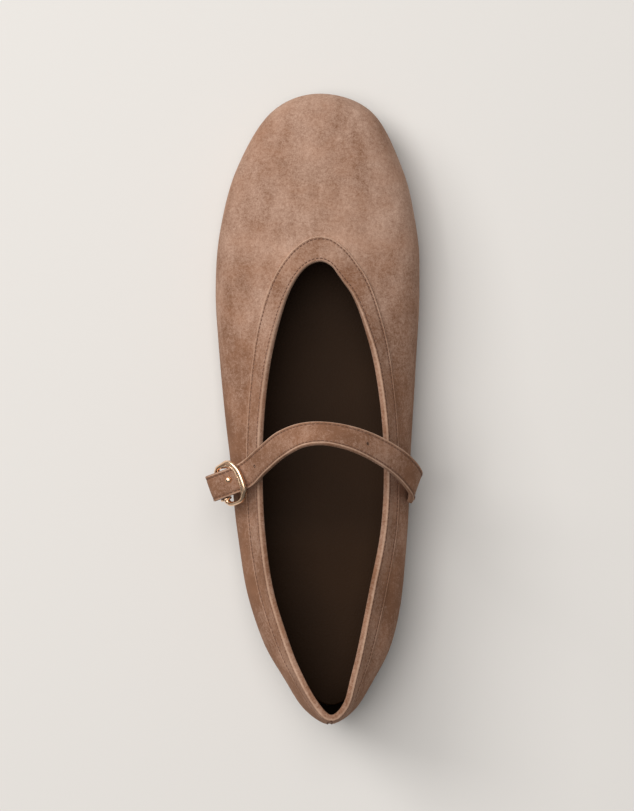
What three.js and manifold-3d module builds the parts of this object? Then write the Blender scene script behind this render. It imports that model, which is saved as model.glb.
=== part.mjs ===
// Ballet flat with an instep strap, left shoe, standing on its sole.
// Millimetres, +Z up, +Y to the toe, +X to the inner side of the foot.
// The origin is the middle of the heel's flat bottom, on the floor.

import * as THREE from 'three';
import { mergeVertices } from 'three/addons/utils/BufferGeometryUtils.js';
import Module from 'manifold-3d';

const wasm = await Module();
wasm.setup();

// Driving dimensions of the last
const lastLength = 252;
const ballWidth = 81.7;
const heelWidth = 62;
const backHeight = 58;
const sideHeight = 43;
const throatHeight = 38;
const heelBulge = 20;
const ballBulge = 13;
const toeBulge = 9;
const featherTuck = 4;

// Driving dimensions of the upper and the sole
const upperWall = 1.6;
const bandWidth = 9;
const bandThickness = 0.9;
const soleThickness = 3.2;
const soleMargin = 0.8;
const insoleThickness = 1.8;
const heelHeight = 7;
const heelLength = 58;
const heelTaper = 1.2;
const toeSpring = 7;
const clearance = 0.3;

// Driving dimensions of the strap and its buckle
const strapWidth = 10.5;
const strapThickness = 1.8;
const strapRise = 33.8;
const strapLean = THREE.MathUtils.degToRad(31.5);
const strapTilt = THREE.MathUtils.degToRad(38);
const strapSkew = THREE.MathUtils.degToRad(4);
const strapAlong = 94.4;
const strapHang = 1.3;
const strapTurn = THREE.MathUtils.degToRad(4);
const sewnLow = 22;
const sewnHigh = 29;
const sewnLean = THREE.MathUtils.degToRad(12);
const tailLength = 26;
const frameLength = 14;
const frameWidth = 18.5;
const frameWire = 2.4;
const frameSlope = THREE.MathUtils.degToRad(42);
const frameTurn = THREE.MathUtils.degToRad(20);
const frameAlong = 95;
const barRise = 19.5;
const barStandOff = 2.9;
const rimShift = 0.7;
const barShift = 0.4;
const barDiameter = 2.3;
const prongDiameter = 1.4;
const prongShift = 2;
const tabWidth = 8.4;
const tabThickness = 1.2;
const tabLow = 13;
const collarDiameter = 4.4;
const collarThickness = 1.1;

// Shares of the last's length where its underside changes
const flatFrom = 0.6;
const flatTo = 0.76;
const archTop = 0.27;
const waistPlace = 0.45;
const throatPlace = 0.73;

// Sections of the last, from the back of the heel round the outer side, the toe and the inner side. Across
// is a share of the half width there, along a share of the length. Out is the widest line of the wall and
// top the inner edge of the opening. Shoulder and drop are shares of the rise between the two, crown a
// share of their distance across: they are the handles that bow the wall. Tuck is a share of the feather
// edge's inset, band one of the topline band's width.
const lastColumns = [
  'place', 'outAcross', 'outAlong', 'topAcross', 'topAlong', 'shoulder', 'crown', 'drop', 'tuck', 'band',
];
const lastSections = [
  ['back', 0, 0, 0.05, 0.024, 0.42, 0.1, 0.4, 0.95, 1],
  ['outer counter', -0.318, 0.0218, -0.11, 0.042, 0.42, 0.12, 0.4, 0.62, 1],
  ['outer heel', -0.575, 0.069, -0.29, 0.079, 0.42, 0.15, 0.4, 0.6, 1],
  ['outer quarter', -0.85, 0.129, -0.474, 0.131, 0.43, 0.18, 0.4, 0.8, 1],
  ['outer rear', -1.05, 0.21, -0.675, 0.214, 0.45, 0.22, 0.4, 1, 1],
  ['outer strap', -1.1, 0.31, -0.733, 0.31, 0.47, 0.24, 0.4, 1, 1],
  ['outer waist', -1.075, 0.433, -0.683, 0.429, 0.5, 0.27, 0.39, 1, 0.95],
  ['outer side', -1.09, 0.556, -0.571, 0.552, 0.55, 0.32, 0.37, 1, 0.91],
  ['outer ball', -1.133, 0.679, -0.461, 0.628, 0.62, 0.42, 0.35, 1, 0.92],
  ['outer vamp', -1.09, 0.776, -0.35, 0.6788, 0.68, 0.5, 0.34, 1, 0.91],
  ['outer toe', -0.93, 0.873, -0.226, 0.7096, 0.72, 0.55, 0.34, 1, 0.93],
  ['outer tip', -0.59, 0.965, -0.099, 0.7204, 0.75, 0.58, 0.34, 1, 1.07],
  ['tip', -0.1, 0.9955, -0.004, 0.7153, 0.76, 0.6, 0.34, 1, 1.2],
  ['inner tip', 0.405, 0.967, 0.054, 0.7037, 0.75, 0.58, 0.34, 1, 1.19],
  ['inner toe', 0.712, 0.873, 0.12, 0.6894, 0.72, 0.55, 0.34, 1, 1.07],
  ['inner vamp', 0.845, 0.776, 0.212, 0.6683, 0.68, 0.5, 0.34, 1, 0.94],
  ['inner ball', 0.869, 0.679, 0.317, 0.6274, 0.62, 0.42, 0.35, 1, 0.86],
  ['inner side', 0.836, 0.556, 0.447, 0.5541, 0.55, 0.32, 0.37, 1, 0.88],
  ['inner waist', 0.853, 0.433, 0.571, 0.429, 0.5, 0.27, 0.39, 1, 0.94],
  ['inner strap', 0.91, 0.31, 0.606, 0.31, 0.47, 0.24, 0.4, 1, 1],
  ['inner rear', 0.915, 0.21, 0.507, 0.214, 0.45, 0.22, 0.4, 1, 1],
  ['inner quarter', 0.8, 0.129, 0.384, 0.131, 0.43, 0.18, 0.4, 0.8, 1],
  ['inner heel', 0.565, 0.069, 0.284, 0.079, 0.42, 0.15, 0.4, 0.6, 1],
  ['inner counter', 0.32, 0.0218, 0.2, 0.042, 0.42, 0.12, 0.4, 0.62, 1],
].map((row) => Object.fromEntries(lastColumns.map((name, index) => [name, row[index]])));

// The strap's arch, from the inner side to the outer: across is a share of the opening's width from its
// inner edge, rise a share of the strap's rise over the edge, and lead how far its front edge stands further
// to the inner side than its rear edge, as a share of its width.
const strapArch = [
  { place: 'off the wall', across: -0.2, rise: -0.09, lead: 0.3 },
  { place: 'inner bend', across: -0.214, rise: 0.2, lead: 0.4 },
  { place: 'inner haunch', across: -0.11, rise: 0.505, lead: 0.5 },
  { place: 'inner shoulder', across: 0.08, rise: 0.782, lead: 0.37 },
  { place: 'inner crown', across: 0.28, rise: 0.948, lead: 0.2 },
  { place: 'crown', across: 0.475, rise: 1, lead: 0 },
  { place: 'outer crown', across: 0.63, rise: 0.943, lead: -0.17 },
  { place: 'outer shoulder', across: 0.795, rise: 0.75, lead: -0.4 },
  { place: 'outer haunch', across: 0.955, rise: 0.42, lead: -0.3 },
];

// The strap's tail below the buckle's bar: out from the bar in its own thicknesses, down in shares of its
// length.
const strapTail = [
  { place: 'over the edge', out: 2.05, down: -0.05 },
  { place: 'edge', out: 2.25, down: 0.1 },
  { place: 'upper tail', out: 2.1, down: 0.35 },
  { place: 'lower tail', out: 1.75, down: 0.66 },
  { place: 'tail end', out: 1.3, down: 1 },
];

// The tab's turn round the buckle's bar: out from the bar in radii of the turn, height in the same radii
// and in shares of the bar's rise.
const tabTurn = [
  { place: 'off the wall', out: -1, above: 0, below: 0.45 },
  { place: 'inner run', out: -1, above: 0, below: 0.15 },
  { place: 'inner side', out: -1, above: 0, below: 0 },
  { place: 'inner turn', out: -0.71, above: 0.71, below: 0 },
  { place: 'top', out: 0, above: 1, below: 0 },
  { place: 'outer turn', out: 0.71, above: 0.71, below: 0 },
  { place: 'outer side', out: 1, above: 0, below: 0 },
  { place: 'outer run', out: 0.9, above: 0, below: 0.18 },
  { place: 'closing in', out: 0.35, above: 0, below: 0.45 },
  { place: 'tab end', out: 0.1, above: 0, below: 0.7 },
];

// Shapes of the curves: shares of a height, a thickness or a length, and powers
const lowerShare = 0.3;
const wallFoot = { lean: 0.3, sag: 0.08, rise: 0.55 };
const springPower = 1.8;
const toplinePower = 1.5;
const stripBevel = 0.3;
const tailTip = { width: 0.22, length: 0.055, power: 0.6 };
const prongTip = 0.8;
const framePower = { bar: 6, round: 2.4 };
const barShare = 0.97;

// How finely the surfaces are cut
const ringSteps = 96;
const footRows = 3;
const wallRows = 5;
const bandRows = 3;
const soleColumns = 2;
const heelSteps = 20;
const strapSteps = 76;
const tabSteps = 36;
const frameSteps = 40;
const prongSteps = 24;
const collarSteps = 16;
const wireSides = 8;
const searchTurns = 24;
const probe = 1e-3;
const weld = 1e-4;

const up = new THREE.Vector3(0, 0, 1);

const mix = (from, to, share) => from + (to - from) * share;

function smoothStep(from, to, value) {
  const share = THREE.MathUtils.clamp((value - from) / (to - from), 0, 1);
  return share * share * (3 - 2 * share);
}

// A column of the section table as a smooth closed curve of the place round the shoe, from 0 to 1.
function column(name, round) {
  const count = lastSections.length;
  const place = (((round % 1) + 1) % 1) * count;
  const first = Math.floor(place);
  const t = place - first;
  const [a, b, c, d] = [-1, 0, 1, 2].map((step) => lastSections[(first + step + count) % count][name]);
  return b + 0.5 * t * (c - a + t * (2 * a - 5 * b + 4 * c - d + t * (3 * (b - c) + d - a)));
}

const halfWidth = (along) => mix(heelWidth, ballWidth, smoothStep(0.15, flatFrom, along)) / 2;

// Height of the sole's underside: a flat forefoot, a toe spring ahead of it and an arch up to the heel
// behind it.
function soleUnder(y) {
  const along = y / lastLength;
  const spring = Math.max(0, (along - flatTo) / (1 - flatTo));
  return toeSpring * spring ** springPower + heelHeight * (1 - smoothStep(archTop, flatFrom, along));
}

const soleTop = (y) => soleUnder(y) + soleThickness;

function toplineHeight(along) {
  if (along < waistPlace) {
    return mix(sideHeight, backHeight, (1 - along / waistPlace) ** toplinePower);
  }
  const ahead = (along - waistPlace) / (throatPlace - waistPlace);
  return mix(sideHeight, throatHeight, ahead ** toplinePower);
}

function bulgeHeight(along) {
  const rear = mix(heelBulge, ballBulge, smoothStep(0.05, flatFrom, along));
  return mix(rear, toeBulge, smoothStep(flatTo, 1, along));
}

// Plan of a named line of the wall, moved outwards by an offset. The feather edge is the out line, tucked
// in.
function planPoint(line, round, offset = 0) {
  const at = (place) => {
    const along = column(`${line}Along`, place);
    return new THREE.Vector2(column(`${line}Across`, place) * halfWidth(along), along * lastLength);
  };
  const tangent = at(round + probe).sub(at(round - probe)).normalize();
  return at(round).add(new THREE.Vector2(-tangent.y, tangent.x).multiplyScalar(offset));
}

const featherPoint = (round, offset) =>
  planPoint('out', round, offset - featherTuck * column('tuck', round));

// A point of the upper's outer face. Round goes round the shoe, rise from the feather edge (0) to the
// topline (1).
function wallPoint(round, rise) {
  const bulgePlan = planPoint('out', round);
  const bulgeFloor = soleTop(bulgePlan.y);
  const bulgeTop = bulgeFloor + bulgeHeight(bulgePlan.y / lastLength);
  const bulge = new THREE.Vector3(bulgePlan.x, bulgePlan.y, bulgeTop);
  if (rise <= lowerShare) {
    const featherPlan = featherPoint(round, 0);
    const feather = new THREE.Vector3(featherPlan.x, featherPlan.y, soleTop(featherPlan.y) + clearance);
    const height = bulge.z - feather.z;
    const lowHandle = feather.clone().lerp(bulge, wallFoot.lean);
    lowHandle.addScaledVector(up, -wallFoot.sag * height);
    const highHandle = bulge.clone().addScaledVector(up, -wallFoot.rise * height);
    return new THREE.CubicBezierCurve3(feather, lowHandle, highHandle, bulge).getPoint(rise / lowerShare);
  }
  const topPlan = planPoint('top', round, upperWall);
  const top = new THREE.Vector3(topPlan.x, topPlan.y, toplineHeight(column('topAlong', round)));
  const height = top.z - bulge.z;
  const lowHandle = bulge.clone().addScaledVector(up, column('shoulder', round) * height);
  const highHandle = top.clone().lerp(new THREE.Vector3(bulge.x, bulge.y, top.z), column('crown', round));
  highHandle.addScaledVector(up, -column('drop', round) * height);
  const share = (rise - lowerShare) / (1 - lowerShare);
  return new THREE.CubicBezierCurve3(bulge, lowHandle, highHandle, top).getPoint(share);
}

// Outward normal of the outer face; near the feather edge it lies level, so that the rim stands flat on
// the sole.
function wallNormal(round, rise) {
  const low = Math.max(0, Math.min(rise - probe, 1 - 2 * probe));
  const upward = wallPoint(round, low + 2 * probe).sub(wallPoint(round, low));
  const onward = wallPoint(round + probe, rise).sub(wallPoint(round - probe, rise));
  const normal = upward.cross(onward).normalize();
  normal.z *= Math.min(1, rise / (lowerShare / 2));
  return normal.normalize();
}

const offWall = (round, rise, offset) =>
  wallPoint(round, rise).addScaledVector(wallNormal(round, rise), offset);

// The place on one side of the shoe where the wall passes a given length and height.
function placeOnWall(side, y, z) {
  const riseAt = (round) => {
    let [low, high] = [0, 1];
    for (let turn = 0; turn < searchTurns; turn++) {
      const middle = (low + high) / 2;
      [low, high] = wallPoint(round, middle).z < z ? [middle, high] : [low, middle];
    }
    return low;
  };
  let [rear, front] = side === 'outer' ? [0.02, 0.5] : [0.98, 0.5];
  for (let turn = 0; turn < searchTurns; turn++) {
    const middle = (rear + front) / 2;
    [rear, front] = wallPoint(middle, riseAt(middle)).y < y ? [middle, front] : [rear, middle];
  }
  return { round: rear, rise: riseAt(rear) };
}

// Rise at which the topline band starts, its width down the wall from the topline.
function bandFoot(round) {
  const width = bandWidth * column('band', round);
  const steps = 60;
  let length = 0;
  let above = wallPoint(round, 1);
  for (let index = 1; index <= steps; index++) {
    const rise = 1 - (index / steps) * (1 - lowerShare);
    const below = wallPoint(round, rise);
    const next = length + below.distanceTo(above);
    if (next >= width) {
      return rise + ((next - width) / (next - length)) * ((1 - lowerShare) / steps);
    }
    length = next;
    above = below;
  }
  return lowerShare;
}

// Closed surfaces from rows of points
function geometryFrom(corners, triangles) {
  const kept = triangles.filter(([a, b, c]) => {
    const [p, q, r] = [corners[a], corners[b], corners[c]];
    return p.distanceTo(q) > weld && q.distanceTo(r) > weld && r.distanceTo(p) > weld;
  });
  const geometry = new THREE.BufferGeometry();
  const positions = corners.flatMap((p) => [p.x, p.y, p.z]);
  geometry.setAttribute('position', new THREE.Float32BufferAttribute(positions, 3));
  geometry.setIndex(kept.flat());
  const merged = mergeVertices(geometry, weld);
  merged.computeVertexNormals();
  return merged;
}

// Loops of points joined one to the next; a ring joins its last loop to its first, a bar is closed at both
// ends.
function loftedGeometry(loops, isRing) {
  const sides = loops[0].length;
  const corners = loops.flat();
  const triangles = [];
  const lastLoop = isRing ? loops.length : loops.length - 1;
  for (let loop = 0; loop < lastLoop; loop++) {
    for (let side = 0; side < sides; side++) {
      const next = (loop + 1) % loops.length;
      const [a, b] = [loop * sides + side, loop * sides + ((side + 1) % sides)];
      const [c, d] = [next * sides + ((side + 1) % sides), next * sides + side];
      triangles.push([a, b, c], [a, c, d]);
    }
  }
  if (!isRing) {
    for (const [loop, flip] of [[0, true], [loops.length - 1, false]]) {
      for (let side = 1; side < sides - 1; side++) {
        const [a, b, c] = [loop * sides, loop * sides + side, loop * sides + side + 1];
        triangles.push(flip ? [a, c, b] : [a, b, c]);
      }
    }
  }
  return geometryFrom(corners, triangles);
}

// A plate over a stretch of the sole's plan. Layers run from its top to its bottom, each with an inset and
// a height.
function plateGeometry(edge, layers, ribs, columns) {
  const corners = [];
  const triangles = [];
  const grid = layers.map(({ inset, height }) => {
    const rows = [];
    for (let rib = 0; rib <= ribs; rib++) {
      const [outer, inner] = edge(rib / ribs, inset);
      rows.push(
        Array.from({ length: columns + 1 }, (_, index) => {
          const plan = outer.clone().lerp(inner, index / columns);
          return corners.push(new THREE.Vector3(plan.x, plan.y, height(plan.y))) - 1;
        }),
      );
    }
    return rows;
  });
  const quad = (a, b, c, d) => triangles.push([a, b, c], [a, c, d]);
  const [first, last] = [grid[0], grid[grid.length - 1]];
  for (let rib = 0; rib < ribs; rib++) {
    for (let index = 0; index < columns; index++) {
      quad(first[rib][index], first[rib][index + 1], first[rib + 1][index + 1], first[rib + 1][index]);
      quad(last[rib][index], last[rib + 1][index], last[rib + 1][index + 1], last[rib][index + 1]);
    }
  }
  for (let layer = 0; layer < grid.length - 1; layer++) {
    const [high, low] = [grid[layer], grid[layer + 1]];
    for (let rib = 0; rib < ribs; rib++) {
      quad(high[rib][0], high[rib + 1][0], low[rib + 1][0], low[rib][0]);
      quad(high[rib + 1][columns], high[rib][columns], low[rib][columns], low[rib + 1][columns]);
    }
    for (let index = 0; index < columns; index++) {
      quad(high[0][index + 1], high[0][index], low[0][index], low[0][index + 1]);
      quad(high[ribs][index], high[ribs][index + 1], low[ribs][index + 1], low[ribs][index]);
    }
  }
  return geometryFrom(corners, triangles);
}

// A flat strip swept along a path, with bevelled edges. Hints point across the strip at each point of the
// path.
function ribbonLoops(points, hints, steps, widthAt, thickness) {
  const path = new THREE.CatmullRomCurve3(points);
  const bevel = thickness * stripBevel;
  return Array.from({ length: steps + 1 }, (_, step) => {
    const share = step / steps;
    const place = share * (points.length - 1);
    const index = Math.min(Math.floor(place), points.length - 2);
    const across = hints[index].clone().lerp(hints[index + 1], place - index);
    const along = path.getTangent(share);
    across.addScaledVector(along, -across.dot(along)).normalize();
    const face = across.clone().cross(along);
    const [half, deep] = [widthAt(share) / 2, thickness / 2];
    const outline = [
      [half, deep - bevel], [half - bevel, deep], [bevel - half, deep], [-half, deep - bevel],
      [-half, bevel - deep], [bevel - half, -deep], [half - bevel, -deep], [half, bevel - deep],
    ];
    const centre = path.getPoint(share);
    const corner = ([w, t]) => centre.clone().addScaledVector(across, w).addScaledVector(face, t);
    return outline.map(corner).reverse();
  });
}

// A round wire along a path
function wireLoops(path, steps, radiusAt, across) {
  return Array.from({ length: steps + 1 }, (_, step) => {
    const share = step / steps;
    const along = path.getTangent(share);
    const side = across.clone().addScaledVector(along, -across.dot(along)).normalize();
    const face = side.clone().cross(along);
    const centre = path.getPoint(share);
    return Array.from({ length: wireSides }, (_, index) => {
      const angle = (-2 * Math.PI * index) / wireSides;
      return centre
        .clone()
        .addScaledVector(side, radiusAt(share) * Math.cos(angle))
        .addScaledVector(face, radiusAt(share) * Math.sin(angle));
    });
  });
}

// Booleans
function solidOf(geometry) {
  const bare = geometry.clone();
  bare.deleteAttribute('normal');
  bare.deleteAttribute('uv');
  const merged = mergeVertices(bare, weld);
  return new wasm.Manifold(
    new wasm.Mesh({
      numProp: 3,
      vertProperties: new Float32Array(merged.attributes.position.array),
      triVerts: new Uint32Array(merged.index.array),
    }),
  );
}

function geometryOf(solid) {
  const { vertProperties, triVerts } = solid.getMesh();
  const geometry = new THREE.BufferGeometry();
  geometry.setAttribute('position', new THREE.BufferAttribute(new Float32Array(vertProperties), 3));
  geometry.setIndex(new THREE.BufferAttribute(new Uint32Array(triVerts), 1));
  geometry.computeVertexNormals();
  return geometry;
}

// Even steps from one value up to another, without the last one
const rowsBetween = (from, to, count) =>
  Array.from({ length: count }, (_, row) => mix(from, to, row / count));

// A ring between two offsets of the upper's outer face
function shellGeometry(risesAt, inner, outer) {
  const loops = Array.from({ length: ringSteps }, (_, step) => {
    const round = step / ringSteps;
    const rises = risesAt(round);
    const outside = rises.map((rise) => offWall(round, rise, outer));
    const inside = rises.map((rise) => offWall(round, rise, inner)).reverse();
    return [...outside, ...inside];
  });
  return loftedGeometry(loops, true);
}

function upperGeometry() {
  const risesAt = (round) => [
    ...rowsBetween(0, lowerShare, footRows),
    ...rowsBetween(lowerShare, bandFoot(round), wallRows),
    ...rowsBetween(bandFoot(round), 1, bandRows),
    1,
  ];
  return shellGeometry(risesAt, -upperWall, 0);
}

function bandGeometry() {
  const risesAt = (round) => [...rowsBetween(bandFoot(round), 1, bandRows), 1];
  return shellGeometry(risesAt, clearance, clearance + bandThickness);
}

// Edges of the sole's plan: the outer and the inner point of each rib from the heel to the toe
const soleEdge = (offset) => (share, inset) => {
  const round = share / 2;
  return [featherPoint(round, offset - inset), featherPoint(1 - round, offset - inset)];
};

function outsoleGeometry() {
  const chamfer = soleThickness / 5;
  const layers = [
    { inset: chamfer, height: (y) => soleTop(y) },
    { inset: 0, height: (y) => soleTop(y) - chamfer },
    { inset: 0, height: (y) => soleUnder(y) + chamfer },
    { inset: chamfer, height: (y) => soleUnder(y) },
  ];
  return plateGeometry(soleEdge(soleMargin), layers, ringSteps / 2, soleColumns);
}

function insoleGeometry() {
  const bottom = (y) => soleTop(y) + clearance;
  const edge = insoleThickness / 3;
  const layers = [
    { inset: edge, height: (y) => bottom(y) + insoleThickness },
    { inset: 0, height: (y) => bottom(y) + insoleThickness - edge },
    { inset: 0, height: bottom },
  ];
  return plateGeometry(soleEdge(-upperWall - 2 * clearance), layers, ringSteps / 2, soleColumns);
}

// The heel lift under the heel seat, ending in a straight breast
const heelBack = featherPoint(0, soleMargin).y;
const heelBreast = heelBack + heelLength;
const heelCentre = heelBack + heelLength / 2;

function heelGeometry() {
  const roundAt = (front) => {
    let rear = front < 0.5 ? 0 : 1;
    let ahead = front;
    for (let turn = 0; turn < searchTurns; turn++) {
      const middle = (rear + ahead) / 2;
      [rear, ahead] = featherPoint(middle, soleMargin).y < heelBreast ? [middle, ahead] : [rear, middle];
    }
    return rear;
  };
  const [outerEnd, innerEnd] = [roundAt(0.4), roundAt(0.6)];
  const edge = (share, inset) => [
    featherPoint(share * outerEnd, soleMargin - inset),
    featherPoint(1 - share * (1 - innerEnd), soleMargin - inset),
  ];
  const foot = heelTaper / 2;
  const layers = [
    { inset: clearance, height: (y) => soleUnder(y) - clearance },
    { inset: heelTaper, height: () => foot },
    { inset: heelTaper + foot, height: () => 0 },
  ];
  return plateGeometry(edge, layers, heelSteps, soleColumns);
}

// The buckle's own directions: across the strap, along it towards its tail, and out of its face
const frameOut = new THREE.Vector3(-Math.cos(frameTurn), -Math.sin(frameTurn), 0);
const frameAcross = new THREE.Vector3(-Math.sin(frameTurn), Math.cos(frameTurn), 0);
const frameDown = frameOut
  .clone()
  .multiplyScalar(Math.cos(frameSlope))
  .addScaledVector(up, -Math.sin(frameSlope));
const frameFace = frameAcross.clone().cross(frameDown);

const bulgeAtFrame = soleTop(frameAlong) + bulgeHeight(frameAlong / lastLength);
const buckleWall = placeOnWall('outer', frameAlong, bulgeAtFrame);
const barCentre = wallPoint(buckleWall.round, lowerShare)
  .addScaledVector(frameOut, barStandOff)
  .addScaledVector(up, barRise);
const barReach = (frameLength - frameWire) / 2;
const frameCentre = barCentre.clone().addScaledVector(frameDown, -barReach);
const barRadius = barDiameter / 2;
const barClear = barRadius + clearance + prongDiameter + clearance;

const atFrame = (along, out, across = 0) =>
  frameCentre
    .clone()
    .addScaledVector(frameDown, along)
    .addScaledVector(frameFace, out)
    .addScaledVector(frameAcross, across);

// The strap's route: sewn to the inner wall, up over the opening, under the frame, over its bar and down.
// It hangs straight down below the hanging height over the edge.
function strapRoute() {
  const edgeHeight = toplineHeight(strapAlong / lastLength);
  const edgeAt = (side) => wallPoint(placeOnWall(side, strapAlong, edgeHeight - clearance).round, 1);
  const [innerEdge, outerEdge] = [edgeAt('inner'), edgeAt('outer')];
  const alongAt = (x, z) =>
    strapAlong + Math.tan(strapLean) * Math.max(z - edgeHeight, strapHang) - Math.tan(strapSkew) * x;
  const acrossAt = (angle, lead = 0) => new THREE.Vector3(lead, Math.cos(angle), -Math.sin(angle));
  const points = [];
  const hints = [];
  const rows = 3;
  for (let row = 0; row < rows; row++) {
    const z = mix(sewnLow, sewnHigh, row / (rows - 1));
    const { round, rise } = placeOnWall('inner', alongAt(innerEdge.x, z), z);
    const normal = wallNormal(round, rise);
    points.push(offWall(round, rise, 1.7 * clearance + strapThickness / 2));
    hints.push(acrossAt(sewnLean).addScaledVector(normal, -acrossAt(sewnLean).dot(normal)).normalize());
  }
  for (const { across, rise, lead } of strapArch) {
    const z = edgeHeight + strapRise * rise;
    const x = mix(innerEdge.x, outerEdge.x, across);
    points.push(new THREE.Vector3(x, alongAt(x, z), z));
    hints.push(acrossAt(strapTilt * rise, lead));
  }
  const turned = frameAcross.clone().multiplyScalar(Math.cos(strapTurn));
  turned.addScaledVector(frameDown, -Math.sin(strapTurn));
  points.push(atFrame(-barReach, -frameWire / 2 - 3 * clearance - strapThickness / 2, rimShift));
  points.push(atFrame(barReach, barClear + strapThickness / 2, barShift));
  hints.push(turned, frameAcross);
  for (const { out, down } of strapTail) {
    points.push(
      barCentre
        .clone()
        .addScaledVector(frameOut, out * strapThickness)
        .addScaledVector(frameAcross, barShift)
        .addScaledVector(up, -down * tailLength),
    );
    hints.push(frameAcross);
  }
  return { points, hints };
}

function prongPath() {
  const lap = barRadius + clearance + prongDiameter / 2;
  const tip = frameWire / 2 + clearance + prongDiameter / 2;
  const curl = [2.4, 1.6, 0.8, 0];
  const askew = (along, out) => atFrame(along, out, (prongShift * (barReach - along)) / (2 * barReach));
  return new THREE.CatmullRomCurve3([
    ...curl.map((angle) => atFrame(barReach + lap * Math.sin(angle), lap * Math.cos(angle))),
    askew(barReach / 3, tip + prongDiameter / 2),
    askew(-barReach / 3, tip + prongDiameter / 3),
    askew(-barReach, tip),
    askew(-barReach - frameWire / 3, tip - prongDiameter / 6),
  ]);
}

function prongGeometry(growth) {
  const radius = (share) => (prongDiameter / 2) * mix(1, prongTip, share) + growth;
  return loftedGeometry(wireLoops(prongPath(), prongSteps, radius, frameAcross), false);
}

function strapGeometry() {
  const { points, hints } = strapRoute();
  const width = (share) => {
    const fromTip = Math.min(1, (1 - share) / tailTip.length);
    return strapWidth * mix(tailTip.width, 1, fromTip ** tailTip.power);
  };
  const strip = loftedGeometry(ribbonLoops(points, hints, strapSteps, width, strapThickness), false);
  return geometryOf(solidOf(strip).subtract(solidOf(prongGeometry(clearance))));
}

// The frame: a ring with a straight outer side, flattened in section
function frameGeometry() {
  const halfAcross = (frameWidth - frameWire) / 2;
  const plan = (angle) => {
    const power = 2 / (Math.cos(angle) > 0 ? framePower.bar : framePower.round);
    const bend = (value) => Math.sign(value) * Math.abs(value) ** power;
    return new THREE.Vector2(barReach * bend(Math.cos(angle)), halfAcross * bend(Math.sin(angle)));
  };
  const loops = Array.from({ length: frameSteps }, (_, step) => {
    const angle = (2 * Math.PI * (step + 0.5)) / frameSteps;
    const centre = plan(angle);
    const tangent = plan(angle + probe).sub(plan(angle - probe)).normalize();
    const radius = (centre.x > barReach * barShare ? barDiameter : frameWire) / 2;
    return Array.from({ length: wireSides }, (_, side) => {
      const turn = (2 * Math.PI * (side + 0.5)) / wireSides;
      const [wide, deep] = [radius * Math.cos(turn), radius * Math.sin(turn)];
      return atFrame(centre.x + tangent.y * wide, deep, centre.y - tangent.x * wide);
    });
  });
  return loftedGeometry(loops, true);
}

// The tab: sewn to the outer wall, up inside the bar, round it and down again
function tabGeometry() {
  const lift = clearance + tabThickness / 2;
  const lap = barRadius + clearance + tabThickness / 2;
  const points = [];
  const hints = [];
  const sewnTop = barCentre.z - barRise;
  for (const share of [0, 0.5, 1]) {
    const z = mix(tabLow, sewnTop, share);
    const { round, rise } = placeOnWall('outer', frameAlong, z);
    const normal = wallNormal(round, rise);
    points.push(offWall(round, rise, lift));
    hints.push(up.clone().cross(normal).negate().normalize());
  }
  for (const { out, above, below } of tabTurn) {
    const height = above * lap - below * barRise;
    points.push(barCentre.clone().addScaledVector(frameOut, out * lap).addScaledVector(up, height));
    hints.push(frameAcross);
  }
  const loops = ribbonLoops(points, hints, tabSteps, () => tabWidth, tabThickness);
  return geometryOf(solidOf(loftedGeometry(loops, false)).subtract(solidOf(prongSlot())));
}

// The slot in the tab's bend, where the prong turns on the bar
function prongSlot() {
  const side = 2 * (barClear + tabThickness);
  const slot = new THREE.BoxGeometry(prongDiameter + 2 * clearance, side, side);
  const turn = new THREE.Matrix4().makeBasis(frameAcross, frameOut, up);
  return slot.applyMatrix4(turn.setPosition(barCentre));
}

// A collar on the bar, beside the tab
function collarGeometry(side) {
  const outer = collarDiameter / 2;
  const inner = barRadius + clearance;
  const near = tabWidth / 2 + clearance;
  const loops = Array.from({ length: collarSteps }, (_, step) => {
    const angle = (2 * Math.PI * step) / collarSteps;
    const ring = (radius, across) =>
      atFrame(barReach + radius * Math.cos(angle), radius * Math.sin(angle), side * across);
    const far = near + collarThickness;
    const loop = [ring(inner, near), ring(outer, near), ring(outer, far), ring(inner, far)];
    return side > 0 ? loop.reverse() : loop;
  });
  return loftedGeometry(loops, true);
}

const finishes = {
  suede: { color: 0x9b7160, roughness: 0.95, metalness: 0 },
  band: { color: 0x8f6655, roughness: 0.95, metalness: 0 },
  footbed: { color: 0x3a2719, roughness: 0.8, metalness: 0 },
  sole: { color: 0x2b211c, roughness: 0.7, metalness: 0 },
  heel: { color: 0x241b17, roughness: 0.6, metalness: 0 },
  metal: { color: 0xe3b18c, roughness: 0.25, metalness: 1 },
};

const shoe = new THREE.Group();
const model = new THREE.Group();
model.position.set(0, -heelCentre, 0);
shoe.add(model);

function addPiece(name, geometry, finish) {
  const mesh = new THREE.Mesh(geometry, new THREE.MeshStandardMaterial(finishes[finish]));
  mesh.name = name;
  model.add(mesh);
}

addPiece('upper', upperGeometry(), 'suede');
addPiece('topline_band', bandGeometry(), 'band');
addPiece('insole', insoleGeometry(), 'footbed');
addPiece('outsole', outsoleGeometry(), 'sole');
addPiece('heel_lift', heelGeometry(), 'heel');
addPiece('strap', strapGeometry(), 'suede');
addPiece('buckle_frame', frameGeometry(), 'metal');
addPiece('buckle_prong', prongGeometry(0), 'metal');
addPiece('buckle_tab', tabGeometry(), 'band');
addPiece('bar_collar_front', collarGeometry(1), 'metal');
addPiece('bar_collar_back', collarGeometry(-1), 'metal');

export default shoe;
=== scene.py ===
"""Looks of a ballet flat with an instep strap, left shoe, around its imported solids.

Metres, +Z up, +Y to the toe, +X to the inner side of the foot. The origin is the middle of the heel's flat
bottom, on the floor. The last's tables and curves are those of the solids, so that each piece lies where its
node is. Only the strap's tail lies a little further round and forward inside the buckle, with the prong's
shank deeper under it.
"""

import math

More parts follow.
